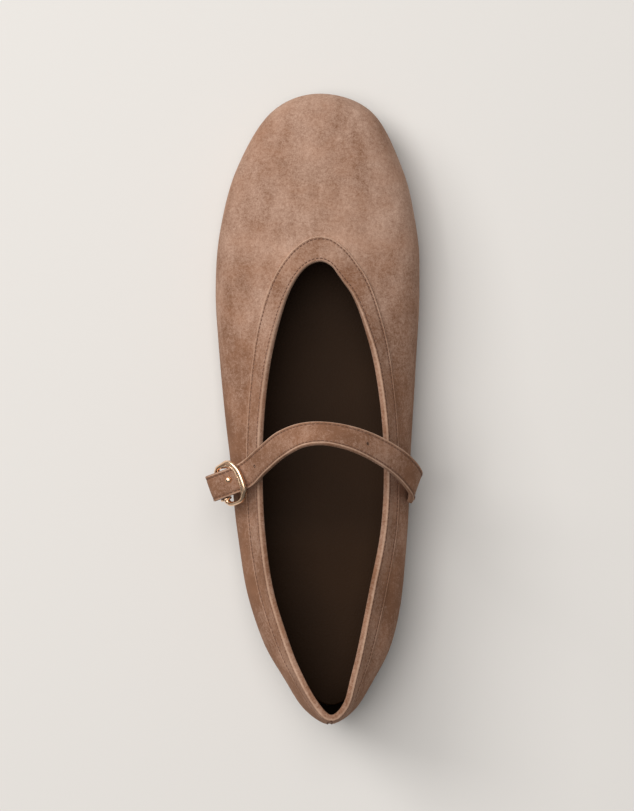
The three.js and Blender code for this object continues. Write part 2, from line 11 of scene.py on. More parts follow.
import bmesh
import bpy
import numpy as np
from mathutils import Matrix, Vector


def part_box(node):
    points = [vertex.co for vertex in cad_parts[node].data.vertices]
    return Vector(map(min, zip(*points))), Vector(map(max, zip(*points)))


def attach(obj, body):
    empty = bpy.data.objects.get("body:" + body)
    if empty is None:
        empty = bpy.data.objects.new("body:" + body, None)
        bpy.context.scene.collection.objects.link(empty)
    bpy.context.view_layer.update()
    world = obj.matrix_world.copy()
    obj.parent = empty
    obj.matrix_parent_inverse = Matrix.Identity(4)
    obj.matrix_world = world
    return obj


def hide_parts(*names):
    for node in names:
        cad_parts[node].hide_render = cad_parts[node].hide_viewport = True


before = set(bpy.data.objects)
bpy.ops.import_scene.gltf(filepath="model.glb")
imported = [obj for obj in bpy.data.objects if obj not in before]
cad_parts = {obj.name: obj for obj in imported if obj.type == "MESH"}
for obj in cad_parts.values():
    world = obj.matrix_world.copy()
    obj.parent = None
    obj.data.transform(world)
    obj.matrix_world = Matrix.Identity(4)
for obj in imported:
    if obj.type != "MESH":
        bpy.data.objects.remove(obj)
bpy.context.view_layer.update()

bl_info = {
    "name": "Ballet Flat",
    "version": (1, 0, 0),
    "blender": (4, 5, 0),
    "location": "3D View > Sidebar > Ballet Flat",
    "description": "Dresses the solids of a ballet flat in suede, lining leather, rubber and metal",
    "category": "Object",
}

MM = 0.001
BODY = "root"
LAY = "lay"
FACE = "face"
UP = np.array((0.0, 0.0, 1.0))
CIRCLE = 2 * math.pi
LAYER_GAP = 0.02 * MM

# Sizes of the last, as in the solids
LAST_LENGTH = 252 * MM
BALL_WIDTH = 81.7 * MM
HEEL_WIDTH = 62 * MM
BACK_HEIGHT = 58 * MM
SIDE_HEIGHT = 43 * MM
THROAT_HEIGHT = 38 * MM
HEEL_BULGE = 20 * MM
BALL_BULGE = 13 * MM
TOE_BULGE = 9 * MM
FEATHER_TUCK = 4 * MM

# Sizes of the upper and the sole
UPPER_WALL = 1.6 * MM
BAND_WIDTH = 9 * MM
SOLE_THICKNESS = 3.2 * MM
SOLE_MARGIN = 0.8 * MM
INSOLE_THICKNESS = 1.8 * MM
HEEL_HEIGHT = 7 * MM
HEEL_LENGTH = 58 * MM
HEEL_TAPER = 1.2 * MM
TOE_SPRING = 7 * MM
CLEARANCE = 0.3 * MM

# Sizes of the strap and its buckle
STRAP_WIDTH = 10.5 * MM
STRAP_THICKNESS = 1.8 * MM
STRAP_RISE = 33.8 * MM
STRAP_LEAN = math.radians(31.5)
STRAP_TILT = math.radians(38)
STRAP_SKEW = math.radians(4)
STRAP_ALONG = 94.4 * MM
STRAP_HANG = 1.3 * MM
STRAP_TURN = math.radians(8)
SEWN_LOW = 22 * MM
SEWN_HIGH = 29 * MM
SEWN_LEAN = math.radians(12)
SEWN_ROWS = 3
TAIL_LENGTH = 26 * MM
FRAME_LENGTH = 14 * MM
FRAME_WIDTH = 18.5 * MM
FRAME_WIRE = 2.4 * MM
FRAME_SLOPE = math.radians(42)
FRAME_TURN = math.radians(20)
FRAME_ALONG = 95 * MM
BAR_RISE = 19.5 * MM
BAR_STAND_OFF = 2.9 * MM
RIM_SHIFT = 1.3 * MM
BAR_SHIFT = 0.8 * MM
BAR_DIAMETER = 2.3 * MM
PRONG_DIAMETER = 1.4 * MM
PRONG_SHIFT = 2 * MM
TAB_WIDTH = 8.4 * MM
TAB_THICKNESS = 1.2 * MM
TAB_LOW = 13 * MM
COLLAR_DIAMETER = 4.4 * MM
COLLAR_THICKNESS = 1.1 * MM

# Shares of the last's length where its underside changes, and the powers of its curves
FLAT_FROM = 0.6
FLAT_TO = 0.76
ARCH_TOP = 0.27
WAIST_PLACE = 0.45
THROAT_PLACE = 0.73
LOWER_SHARE = 0.3
FOOT_LEAN, FOOT_SAG, FOOT_RISE = 0.3, 0.08, 0.55
SPRING_POWER = 1.8
TOPLINE_POWER = 1.5
FRAME_POWER_BAR, FRAME_POWER_ROUND = 6, 2.4
TIP_WIDTH, TIP_LENGTH, TIP_POWER = 0.22, 0.055, 0.6
PROBE = 1e-3

# Sections of the last, from the back of the heel round the outer side, the toe and the inner side. Across is
# a share of the half width there, along a share of the length. Out is the widest line of the wall and top
# the inner edge of the opening. Shoulder, crown and drop bow the wall between them, tuck draws in the
# feather edge, and band is a share of the topline band's width.
SECTION_COLUMNS = (
    "place", "out_across", "out_along", "top_across", "top_along", "shoulder", "crown", "drop", "tuck",
    "band",
)
SECTIONS = (
    ("back", 0, 0, 0.05, 0.024, 0.42, 0.1, 0.4, 0.95, 1),
    ("outer counter", -0.318, 0.0218, -0.11, 0.042, 0.42, 0.12, 0.4, 0.62, 1),
    ("outer heel", -0.575, 0.069, -0.29, 0.079, 0.42, 0.15, 0.4, 0.6, 1),
    ("outer quarter", -0.85, 0.129, -0.474, 0.131, 0.43, 0.18, 0.4, 0.8, 1),
    ("outer rear", -1.05, 0.21, -0.675, 0.214, 0.45, 0.22, 0.4, 1, 1),
    ("outer strap", -1.1, 0.31, -0.733, 0.31, 0.47, 0.24, 0.4, 1, 1),
    ("outer waist", -1.075, 0.433, -0.683, 0.429, 0.5, 0.27, 0.39, 1, 0.95),
    ("outer side", -1.09, 0.556, -0.571, 0.552, 0.55, 0.32, 0.37, 1, 0.91),
    ("outer ball", -1.133, 0.679, -0.461, 0.628, 0.62, 0.42, 0.35, 1, 0.92),
    ("outer vamp", -1.09, 0.776, -0.35, 0.6788, 0.68, 0.5, 0.34, 1, 0.91),
    ("outer toe", -0.93, 0.873, -0.226, 0.7096, 0.72, 0.55, 0.34, 1, 0.93),
    ("outer tip", -0.59, 0.965, -0.099, 0.7204, 0.75, 0.58, 0.34, 1, 1.07),
    ("tip", -0.1, 0.9955, -0.004, 0.7153, 0.76, 0.6, 0.34, 1, 1.2),
    ("inner tip", 0.405, 0.967, 0.054, 0.7037, 0.75, 0.58, 0.34, 1, 1.19),
    ("inner toe", 0.712, 0.873, 0.12, 0.6894, 0.72, 0.55, 0.34, 1, 1.07),
    ("inner vamp", 0.845, 0.776, 0.212, 0.6683, 0.68, 0.5, 0.34, 1, 0.94),
    ("inner ball", 0.869, 0.679, 0.317, 0.6274, 0.62, 0.42, 0.35, 1, 0.86),
    ("inner side", 0.836, 0.556, 0.447, 0.5541, 0.55, 0.32, 0.37, 1, 0.88),
    ("inner waist", 0.853, 0.433, 0.571, 0.429, 0.5, 0.27, 0.39, 1, 0.94),
    ("inner strap", 0.91, 0.31, 0.606, 0.31, 0.47, 0.24, 0.4, 1, 1),
    ("inner rear", 0.915, 0.21, 0.507, 0.214, 0.45, 0.22, 0.4, 1, 1),
    ("inner quarter", 0.8, 0.129, 0.384, 0.131, 0.43, 0.18, 0.4, 0.8, 1),
    ("inner heel", 0.565, 0.069, 0.284, 0.079, 0.42, 0.15, 0.4, 0.6, 1),
    ("inner counter", 0.32, 0.0218, 0.2, 0.042, 0.42, 0.12, 0.4, 0.62, 1),
)

# The strap's arch, from the inner side to the outer: a share of the opening's width from its inner edge, a
# share of the strap's rise over the edge, and how far its front edge leads to the inner side
STRAP_ARCH = (
    ("off the wall", -0.2, -0.09, 0.3),
    ("inner bend", -0.214, 0.2, 0.4),
    ("inner haunch", -0.11, 0.505, 0.5),
    ("inner shoulder", 0.08, 0.782, 0.37),
    ("inner crown", 0.28, 0.948, 0.2),
    ("crown", 0.475, 1, 0),
    ("outer crown", 0.63, 0.943, -0.17),
    ("outer shoulder", 0.795, 0.75, -0.4),
    ("outer haunch", 0.955, 0.42, -0.3),
)

# The strap's tail below the bar: out from the bar in its own thicknesses, down in shares of its length
STRAP_TAIL = (
    ("over the edge", 2.05, -0.05),
    ("edge", 2.25, 0.1),
    ("upper tail", 2.1, 0.35),
    ("lower tail", 1.75, 0.66),
    ("tail end", 1.3, 1),
)

# The tab's turn round the bar: out and above in radii of the turn, below in shares of the bar's rise
TAB_TURN = (
    ("off the wall", -1, 0, 0.45),
    ("inner run", -1, 0, 0.15),
    ("inner side", -1, 0, 0),
    ("inner turn", -0.71, 0.71, 0),
    ("top", 0, 1, 0),
    ("outer turn", 0.71, 0.71, 0),
    ("outer side", 1, 0, 0),
    ("outer run", 0.9, 0, 0.18),
    ("closing in", 0.35, 0, 0.45),
    ("tab end", 0.1, 0, 0.7),
)


# The last's curves


def mix(low, high, share):
    """The value at a share of the way from low to high."""
    return low + (high - low) * share


def smooth_step(low, high, value):
    """A soft step from 0 at low to 1 at high."""
    share = np.clip((value - low) / (high - low), 0, 1)
    return share * share * (3 - 2 * share)


def bump(value, centre, width):
    """A soft hill of height 1 round a centre."""
    return np.exp(-(((value - centre) / width) ** 2))


def unit(vectors):
    """Vectors brought to length 1."""
    return vectors / np.linalg.norm(vectors, axis=-1, keepdims=True)


def vector(x, y, z):
    """Points from three coordinates, each a number or an array."""
    return np.stack(np.broadcast_arrays(np.asarray(x, float), y, z), axis=-1)


def section(column, place):
    """A column of the section table as a smooth closed curve of the place round the shoe, from 0 to 1."""
    values = np.array([row[SECTION_COLUMNS.index(column)] for row in SECTIONS], float)
    spot = np.mod(place, 1) * len(values)
    first = np.floor(spot).astype(int)
    t = spot - first
    a, b, c, d = (values[(first + step) % len(values)] for step in (-1, 0, 1, 2))
    return b + 0.5 * t * (c - a + t * (2 * a - 5 * b + 4 * c - d + t * (3 * (b - c) + d - a)))


def half_width(along):
    """Half of the last's width at a share of its length."""
    return mix(HEEL_WIDTH, BALL_WIDTH, smooth_step(0.15, FLAT_FROM, along)) / 2


def sole_under(y):
    """Height of the sole's underside at a length from the back of the last."""
    along = y / LAST_LENGTH
    spring = np.maximum(0, (along - FLAT_TO) / (1 - FLAT_TO))
    return TOE_SPRING * spring**SPRING_POWER + HEEL_HEIGHT * (1 - smooth_step(ARCH_TOP, FLAT_FROM, along))


def sole_top(y):
    """Height of the sole's upper side."""
    return sole_under(y) + SOLE_THICKNESS


def topline_height(along):
    """Height of the topline at a share of the length."""
    behind = np.clip(1 - along / WAIST_PLACE, 0, None)
    ahead = np.clip((along - WAIST_PLACE) / (THROAT_PLACE - WAIST_PLACE), 0, None)
    rear = mix(SIDE_HEIGHT, BACK_HEIGHT, behind**TOPLINE_POWER)
    front = mix(SIDE_HEIGHT, THROAT_HEIGHT, ahead**TOPLINE_POWER)
    return np.where(along < WAIST_PLACE, rear, front)


def bulge_height(along):
    """Height of the wall's widest line over the sole."""
    rear = mix(HEEL_BULGE, BALL_BULGE, smooth_step(0.05, FLAT_FROM, along))
    return mix(rear, TOE_BULGE, smooth_step(FLAT_TO, 1, along))


def plan_point(line, place, offset=0.0):
    """Plan of a named line of the wall, moved outwards by an offset."""

    def at(spot):
        along = section(f"{line}_along", spot)
        return np.stack((section(f"{line}_across", spot) * half_width(along), along * LAST_LENGTH), axis=-1)

    tangent = unit(at(place + PROBE) - at(place - PROBE))
    outward = np.stack((-tangent[..., 1], tangent[..., 0]), axis=-1)
    return at(place) + outward * np.asarray(offset)[..., None]


def feather_point(place, offset):
    """Plan of the feather edge, where the upper turns under the foot."""
    return plan_point("out", place, offset - FEATHER_TUCK * section("tuck", place))


def bezier(start, low, high, end, share):
    """Points of a curve with two handles."""
    t = np.asarray(share)[..., None]
    rest = 1 - t
    return rest**3 * start + 3 * rest**2 * t * low + 3 * rest * t**2 * high + t**3 * end


def last_wall(place, rise):
    """Outer face of the upper in the last's own frame, rise 0 at the feather edge and 1 at the topline."""
    place, rise = np.broadcast_arrays(np.asarray(place, float), np.asarray(rise, float))
    out_plan = plan_point("out", place)
    bulge_z = sole_top(out_plan[..., 1]) + bulge_height(out_plan[..., 1] / LAST_LENGTH)
    bulge = vector(out_plan[..., 0], out_plan[..., 1], bulge_z)

    foot_plan = feather_point(place, 0.0)
    foot = vector(foot_plan[..., 0], foot_plan[..., 1], sole_top(foot_plan[..., 1]) + CLEARANCE)
    height = (bulge - foot)[..., 2:]
    low = mix(foot, bulge, FOOT_LEAN) - UP * FOOT_SAG * height
    high = bulge - UP * FOOT_RISE * height
    lower = bezier(foot, low, high, bulge, np.clip(rise / LOWER_SHARE, 0, 1))

    top_plan = plan_point("top", place, UPPER_WALL)
    top = vector(top_plan[..., 0], top_plan[..., 1], topline_height(section("top_along", place)))
    height = (top - bulge)[..., 2:]
    low = bulge + UP * section("shoulder", place)[..., None] * height
    over = vector(bulge[..., 0], bulge[..., 1], top[..., 2])
    high = mix(top, over, section("crown", place)[..., None])
    high = high - UP * section("drop", place)[..., None] * height
    upper = bezier(bulge, low, high, top, np.clip((rise - LOWER_SHARE) / (1 - LOWER_SHARE), 0, 1))
    return np.where((rise <= LOWER_SHARE)[..., None], lower, upper)


# The last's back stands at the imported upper's back
BACK = np.array((0.0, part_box("upper")[0].y, 0.0))


def wall(place, rise):
    """Outer face of the upper in the shoe's frame."""
    return last_wall(place, rise) + BACK


def wall_normal(place, rise):
    """Outward normal of the wall, level at the feather edge."""
    place, rise = np.broadcast_arrays(np.asarray(place, float), np.asarray(rise, float))
    low = np.clip(rise - PROBE, 0, 1 - 2 * PROBE)
    upward = last_wall(place, low + 2 * PROBE) - last_wall(place, low)
    onward = last_wall(place + PROBE, rise) - last_wall(place - PROBE, rise)
    normal = unit(np.cross(upward, onward))
    normal[..., 2] *= np.minimum(1, rise / (LOWER_SHARE / 2))
    return unit(normal)


def off_wall(place, rise, offset):
    """A point at a distance outside the wall."""
    return wall(place, rise) + wall_normal(place, rise) * np.asarray(offset)[..., None]


def rise_below_top(place, distances, steps=80):
    """Rises at distances down the wall from the topline: an array of places by distances."""
    rises = np.linspace(1, LOWER_SHARE, steps + 1)
    line = wall(place[:, None], rises[None, :])
    length = np.pad(np.linalg.norm(np.diff(line, axis=1), axis=-1).cumsum(axis=1), ((0, 0), (1, 0)))
    wanted = np.broadcast_to(distances, (len(place), np.shape(distances)[-1]))
    return np.array([np.interp(distance, row, rises) for distance, row in zip(wanted, length)])


def band_width(place):
    """Width of the topline band down the wall, as a column of places."""
    return BAND_WIDTH * section("band", place)[:, None]


def place_on_wall(side, y, z, samples=240, turns=24):
    """Place and rise where one side of the wall passes a length and a height, in the last's frame."""
    spots = np.linspace(0.02, 0.5, samples) if side == "outer" else np.linspace(0.98, 0.5, samples)

    def rise_at(places):
        low, high = np.zeros(len(places)), np.ones(len(places))
        for _ in range(turns):
            middle = (low + high) / 2
            below = last_wall(places, middle)[:, 2] < z
            low, high = np.where(below, middle, low), np.where(below, high, middle)
        return low

    lengths = last_wall(spots, rise_at(spots))[:, 1]
    place = np.interp(y, lengths, spots)
    return place, rise_at(np.array([place]))[0]


# Paths through points, as the strap, the tab and the prong follow them


def path_points(points, shares):
    """Points of a smooth path through points, spaced by the root of their distances."""
    points = np.asarray(points, float)
    spot = np.asarray(shares, float) * (len(points) - 1)
    first = np.clip(np.floor(spot).astype(int), 0, len(points) - 2)
    t = (spot - first)[:, None]
    padded = np.vstack((2 * points[0] - points[1], points, 2 * points[-1] - points[-2]))
    a, b, c, d = (padded[first + step] for step in range(4))
    gap_a, gap_b, gap_c = (np.linalg.norm(q - p, axis=1)[:, None] ** 0.5 for p, q in ((a, b), (b, c), (c, d)))
    start = ((b - a) / gap_a - (c - a) / (gap_a + gap_b) + (c - b) / gap_b) * gap_b
    end = ((c - b) / gap_b - (d - b) / (gap_b + gap_c) + (d - c) / gap_c) * gap_b
    return b + t * (start + t * (3 * (c - b) - 2 * start - end + t * (2 * (b - c) + start + end)))


def path_tangents(points, shares, step=1e-4):
    """Directions along the same path."""
    shares = np.asarray(shares, float)
    ahead, behind = np.minimum(1, shares + step), np.maximum(0, shares - step)
    return unit(path_points(points, ahead) - path_points(points, behind))


def ribbon_frames(points, hints, shares):
    """Centre, across and face directions of a strip along a path. Hints point across it at each point."""
    hints = np.asarray(hints, float)
    spot = np.asarray(shares) * (len(hints) - 1)
    first = np.clip(np.floor(spot).astype(int), 0, len(hints) - 2)
    across = mix(hints[first], hints[first + 1], (spot - first)[:, None])
    along = path_tangents(points, shares)
    across = unit(across - along * np.sum(across * along, axis=1)[:, None])
    return path_points(points, shares), across, np.cross(across, along)


def even_shares(points, count, samples=4000):
    """Shares of a path, evenly spaced along its length."""
    fine = np.linspace(0, 1, samples)
    length = np.linalg.norm(np.diff(path_points(points, fine), axis=0), axis=1).cumsum()
    length = np.concatenate(((0,), length))
    return np.interp(np.linspace(0, length[-1], count), length, fine)


# The buckle's own directions and places

FRAME_OUT = np.array((-math.cos(FRAME_TURN), -math.sin(FRAME_TURN), 0.0))
FRAME_ACROSS = np.array((-math.sin(FRAME_TURN), math.cos(FRAME_TURN), 0.0))
FRAME_DOWN = FRAME_OUT * math.cos(FRAME_SLOPE) - UP * math.sin(FRAME_SLOPE)
FRAME_FACE = np.cross(FRAME_ACROSS, FRAME_DOWN)
FRAME_FLOOR = sole_top(FRAME_ALONG) + bulge_height(FRAME_ALONG / LAST_LENGTH)
BUCKLE_PLACE = place_on_wall("outer", FRAME_ALONG, FRAME_FLOOR)[0]
BAR_CENTRE = wall(BUCKLE_PLACE, LOWER_SHARE) + FRAME_OUT * BAR_STAND_OFF + UP * BAR_RISE
BAR_REACH = (FRAME_LENGTH - FRAME_WIRE) / 2
FRAME_CENTRE = BAR_CENTRE - FRAME_DOWN * BAR_REACH
BAR_RADIUS = BAR_DIAMETER / 2
BAR_CLEAR = BAR_RADIUS + CLEARANCE + PRONG_DIAMETER + CLEARANCE


def at_frame(along, out, across=0.0):
    """A point in the buckle's own directions, from the middle of its frame."""
    along, out, across = (np.asarray(value, float)[..., None] for value in (along, out, across))
    return FRAME_CENTRE + FRAME_DOWN * along + FRAME_FACE * out + FRAME_ACROSS * across


def strap_route():
    """Points of the strap's middle line and the directions across it, from its sewn end to its tail."""
    edge_height = float(topline_height(STRAP_ALONG / LAST_LENGTH))

    def edge_at(side):
        return last_wall(place_on_wall(side, STRAP_ALONG, edge_height - CLEARANCE)[0], 1.0)

    def along_at(x, z):
        over_edge = max(z - edge_height, STRAP_HANG)
        return STRAP_ALONG + math.tan(STRAP_LEAN) * over_edge - math.tan(STRAP_SKEW) * x

    def across_at(angle, lead=0.0):
        return np.array((lead, math.cos(angle), -math.sin(angle)))

    inner_edge, outer_edge = edge_at("inner"), edge_at("outer")
    points, hints = [], []
    for z in np.linspace(SEWN_LOW, SEWN_HIGH, SEWN_ROWS):
        place, rise = place_on_wall("inner", along_at(inner_edge[0], z), z)
        normal = wall_normal(place, rise)
        across = across_at(SEWN_LEAN)
        points.append(off_wall(place, rise, 1.7 * CLEARANCE + STRAP_THICKNESS / 2))
        hints.append(unit(across - normal * across.dot(normal)))
    for _, across, rise, lead in STRAP_ARCH:
        z = edge_height + STRAP_RISE * rise
        x = mix(inner_edge[0], outer_edge[0], across)
        points.append(np.array((x, along_at(x, z), z)) + BACK)
        hints.append(across_at(STRAP_TILT * rise, lead))
    points.append(at_frame(-BAR_REACH, -FRAME_WIRE / 2 - 3 * CLEARANCE - STRAP_THICKNESS / 2, RIM_SHIFT))
    points.append(at_frame(BAR_REACH, BAR_CLEAR + STRAP_THICKNESS / 2, BAR_SHIFT))
    hints.append(FRAME_ACROSS * math.cos(STRAP_TURN) - FRAME_DOWN * math.sin(STRAP_TURN))
    hints.append(FRAME_ACROSS)
    for _, out, down in STRAP_TAIL:
        out_of_bar = FRAME_OUT * out * STRAP_THICKNESS + FRAME_ACROSS * BAR_SHIFT
        points.append(BAR_CENTRE + out_of_bar - UP * down * TAIL_LENGTH)
        hints.append(FRAME_ACROSS)
    return points, hints


def tab_route():
    """Points of the tab's middle line and the directions across it, from the wall round the bar."""
    lap = BAR_RADIUS + CLEARANCE + TAB_THICKNESS / 2
    points, hints = [], []
    for z in np.linspace(TAB_LOW, BAR_CENTRE[2] - BAR_RISE, 3):
        place, rise = place_on_wall("outer", FRAME_ALONG, z)
        normal = wall_normal(place, rise)
        points.append(off_wall(place, rise, CLEARANCE + TAB_THICKNESS / 2))
        hints.append(unit(-np.cross(UP, normal)))
    for _, out, above, below in TAB_TURN:
        points.append(BAR_CENTRE + FRAME_OUT * out * lap + UP * (above * lap - below * BAR_RISE))
        hints.append(FRAME_ACROSS)
    return points, hints


def prong_route():
    """Points of the prong's middle line, from its curl round the bar to its tip on the frame."""
    lap = BAR_RADIUS + CLEARANCE + PRONG_DIAMETER / 2
    tip = FRAME_WIRE / 2 + CLEARANCE + PRONG_DIAMETER / 2
    curl = [at_frame(BAR_REACH + lap * math.sin(turn), lap * math.cos(turn)) for turn in (2.4, 1.6, 0.8, 0)]
    shank = [
        (0.6 * BAR_REACH, 1.7 * MM, 0.4),
        (0.25 * BAR_REACH, 1.4 * MM, 0.75),
        (0, 0.9 * MM, 0.85),
        (-0.3 * BAR_REACH, -0.9 * MM, 0.85),
        (-0.6 * BAR_REACH, -2.2 * MM, 0.8),
        (-0.8 * BAR_REACH, -1.7 * MM, 0.7),
        (-0.92 * BAR_REACH, -0.3 * MM, 0.6),
        (-BAR_REACH, 0.4 * tip, 0.6),
    ]
    return curl + [at_frame(along, out, askew * PRONG_SHIFT) for along, out, askew in shank]


# Sizes and colours that a user would change


def screen(red, green, blue):
    """A colour as seen on a screen, 0 to 255, in linear light."""
    return tuple(((value / 255 + 0.055) / 1.055) ** 2.4 for value in (red, green, blue))


def length(name, description, default):
    """A length property in metres."""
    return bpy.props.FloatProperty(
        name=name, description=description, default=default, min=0.0, precision=5, unit="LENGTH"
    )


def colour(name, description, default):
    """A colour property in linear light."""
    return bpy.props.FloatVectorProperty(
        name=name, description=description, default=default, size=3, min=0.0, max=1.0, subtype="COLOR"
    )


class ShoeSizes(bpy.types.PropertyGroup):
    """Sizes of the layers, edges and stitches."""

    skin: length("Suede", "Thickness of the suede skin over its lining", 0.9 * MM)
    lining: length("Lining", "Thickness of the lining leather", 0.5 * MM)
    band: length("Band", "Height of the topline band over the skin", 0.9 * MM)
    outer_row: length("Outer row", "From the band's outer edge to its outer row of stitches", 1.2 * MM)
    inner_row: length("Inner row", "From the topline to the inner row of stitches", 0.7 * MM)
    edge_row: length("Edge row", "From a strap's edge to its row of stitches", 1.2 * MM)
    pitch: length("Stitch pitch", "Length from one stitch to the next", 1.6 * MM)
    thread: length("Thread", "Diameter of the thread", 0.4 * MM)
    unevenness: length("Unevenness", "Height of the soft waves in the lasted suede", 0.22 * MM)
    lip: length("Lip", "Height of the folded topline over the wall's top", 0.5 * MM)
    lip_depth: length("Lip depth", "How far the fold runs down the inside", 2.6 * MM)
    rim_broad: length("Buckle rim", "Width of the buckle's ring at its round end", 3.1 * MM)
    rim_narrow: length("Buckle side", "Width of the buckle's ring beside its bar", 1.8 * MM)
    head: length("Prong head", "Diameter of the prong's domed head", 2.9 * MM)
    head_along: length("Prong head place", "From the buckle's middle to the prong's head", 0.0)
    hole: length("Strap hole", "Diameter of a punched hole in the strap", 1.1 * MM)


class ShoeColours(bpy.types.PropertyGroup):
    """Colours and strengths of the finishes."""

    suede_light: colour("Suede, brushed up", "Suede where its nap catches the light", screen(191, 159, 141))
    suede_dark: colour("Suede, brushed down", "Suede where its nap lies away", screen(122, 86, 65))
    suede_warm: colour("Suede, warm cast", "Reddish cast of parts of the suede", screen(168, 124, 98))
    # Also the colour of the painted highlight along rounded edges, and the sheen's tint
    suede_edge: colour("Suede edge", "Cut and folded edges of the suede", screen(208, 176, 154))
    thread: colour("Thread", "Sewing thread", screen(96, 62, 46))
    quiet_thread: colour("Strap thread", "Sewing thread of the strap and tab", screen(104, 74, 57))
    # Pinholes are painted shade: dark patches and cups where the holes fall into shadow
    pinhole: colour("Pinholes", "Needle holes and punched holes", screen(38, 24, 17))
    lining: colour("Lining", "Lining leather", screen(24, 15, 8))
    footbed: colour("Footbed", "Leather of the insole", screen(44, 26, 10))
    rubber: colour("Rubber", "Outsole and heel", screen(56, 43, 36))
    metal: colour("Metal", "Rose gold plating of the buckle", (0.95, 0.66, 0.45))
    floor: colour("Floor", "Floor of the studio", (0.73, 0.715, 0.7))
    nap: bpy.props.FloatProperty(
        name="Nap", description="Strength of the suede's mottling", default=0.5, min=0.0, max=1.0,
        subtype="FACTOR",
    )


# Meshes


def mesh_piece(name, vertices, faces, lay=None, crease=50):
    """A mesh object whose faces point outwards, with its lay as a UV map in metres."""
    mesh = bpy.data.meshes.new(name)
    mesh.from_pydata(np.asarray(vertices).reshape(-1, 3).tolist(), [], faces)
    if lay is not None:
        layer = mesh.uv_layers.new(name=LAY)
        layer.data.foreach_set("uv", np.asarray(lay, np.float32).ravel())
    piece = bpy.data.objects.new(name, mesh)
    bpy.context.scene.collection.objects.link(piece)
    close_mesh(mesh)
    mesh.set_sharp_from_angle(angle=math.radians(crease))
    return piece


def close_mesh(mesh, merge=2e-6):
    """Merges what coincides, drops collapsed faces and turns the faces outwards."""
    work = bmesh.new()
    work.from_mesh(mesh)
    bmesh.ops.remove_doubles(work, verts=work.verts, dist=merge)
    bmesh.ops.dissolve_degenerate(work, dist=merge / 2, edges=work.edges)
    if work.calc_volume(signed=True) < 0:
        bmesh.ops.reverse_faces(work, faces=work.faces)
    for face in work.faces:
        face.smooth = True
    work.to_mesh(mesh)
    work.free()


def lofted_piece(name, sections, lay_across, ring=False, caps=(False, False), crease=50):
    """A closed skin over sections, each a closed loop of points. Lay runs along the sections and across."""
    count, sides = sections.shape[:2]
    centres = sections.mean(axis=1)
    steps = np.linalg.norm(np.diff(centres, axis=0, append=centres[:1]), axis=1)
    lay_along = np.concatenate(((0,), steps.cumsum()))
    lay_across = np.broadcast_to(np.asarray(lay_across, float), (count, sides))
    faces, lay = [], []
    for row in range(count if ring else count - 1):
        ahead = (row + 1) % count
        for side in range(sides):
            beside = (side + 1) % sides
            faces.append(
                (row * sides + side, row * sides + beside, ahead * sides + beside, ahead * sides + side)
            )
            near, far = lay_across[row, side], lay_across[row, beside]
            near_ahead, far_ahead = lay_across[ahead, side], lay_across[ahead, beside]
            here, there = lay_along[row], lay_along[row + 1]
            lay += [(here, near), (here, far), (there, far_ahead), (there, near_ahead)]
    for wanted, row, order in ((caps[0], 0, -1), (caps[1], count - 1, 1)):
        if wanted:
            faces.append(tuple((row * sides + np.arange(sides)[::order]).tolist()))
            lay += [(lay_along[row], lay_across[row, side]) for side in range(sides)[::order]]
    return mesh_piece(name, sections, faces, lay, crease)


def waves(points, size, seed, octaves=3, directions=5):
    """Soft unevenness from a few waves in fixed directions, about -1 to 1."""
    draw = np.random.default_rng(seed)
    total = np.zeros(points.shape[:-1])
    for octave in range(octaves):
        finer = 1.8**octave
        for _ in range(directions):
            heading = unit(draw.normal(size=3))
            phase = draw.uniform(0, CIRCLE)
            total += np.sin(points @ heading * finer * CIRCLE / size + phase) / finer
    return total / directions


def apply_modifiers(piece):
    """Turns a piece's modifiers into its mesh."""
    graph = bpy.context.evaluated_depsgraph_get()
    mesh = bpy.data.meshes.new_from_object(piece.evaluated_get(graph))
    piece.modifiers.clear()
    piece.data = mesh


def place_piece(piece, finish, slot, *nodes):
    """Gives a piece its finish, attaches it to the body and hides the nodes it stands for. The slot is not
    used.
    """
    if finish is not None:
        piece.data.materials.clear()
        piece.data.materials.append(finish)
    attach(piece, BODY)
    if nodes:
        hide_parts(*nodes)


# Materials

FAINT = 0.08

# Where the painted shade at the suede's heel fades out: ahead of the back, and over the floor
HEEL_SHADE_AHEAD, HEEL_SHADE_UP = (60 * MM, 170 * MM), (12 * MM, 50 * MM)


def toned(base, share):
    """A colour made lighter or darker."""
    return tuple(min(1, value * share) for value in base)


class Flow:
    """A value or colour on its way through a material, so that its sums read as plain expressions."""

    def __init__(self, finish, socket):
        self.finish = finish
        self.socket = socket

    def math(self, operation, *values):
        return self.finish.add("ShaderNodeMath", {"operation": operation}, values)

    def __add__(self, other):
        return self.math("ADD", self, other)

    def __radd__(self, other):
        return self.math("ADD", other, self)

    def __sub__(self, other):
        return self.math("SUBTRACT", self, other)

    def __rsub__(self, other):
        return self.math("SUBTRACT", other, self)

    def __mul__(self, other):
        return self.math("MULTIPLY", self, other)

    def __rmul__(self, other):
        return self.math("MULTIPLY", other, self)

    def __abs__(self):
        return self.math("ABSOLUTE", self)

    def clamped(self):
        """The value kept from 0 to 1."""
        return self.finish.add("ShaderNodeClamp", {}, (self,))

    def step(self, low, high):
        """A soft step from 0 at low to 1 at high."""
        settings = {"interpolation_type": "SMOOTHSTEP"}
        return self.finish.add("ShaderNodeMapRange", settings, (self, low, high, 0.0, 1.0))

    def near(self, centre, width):
        """1 at a centre, falling softly to 0 a width away."""
        return 1 - abs(self - centre).step(0.0, width)


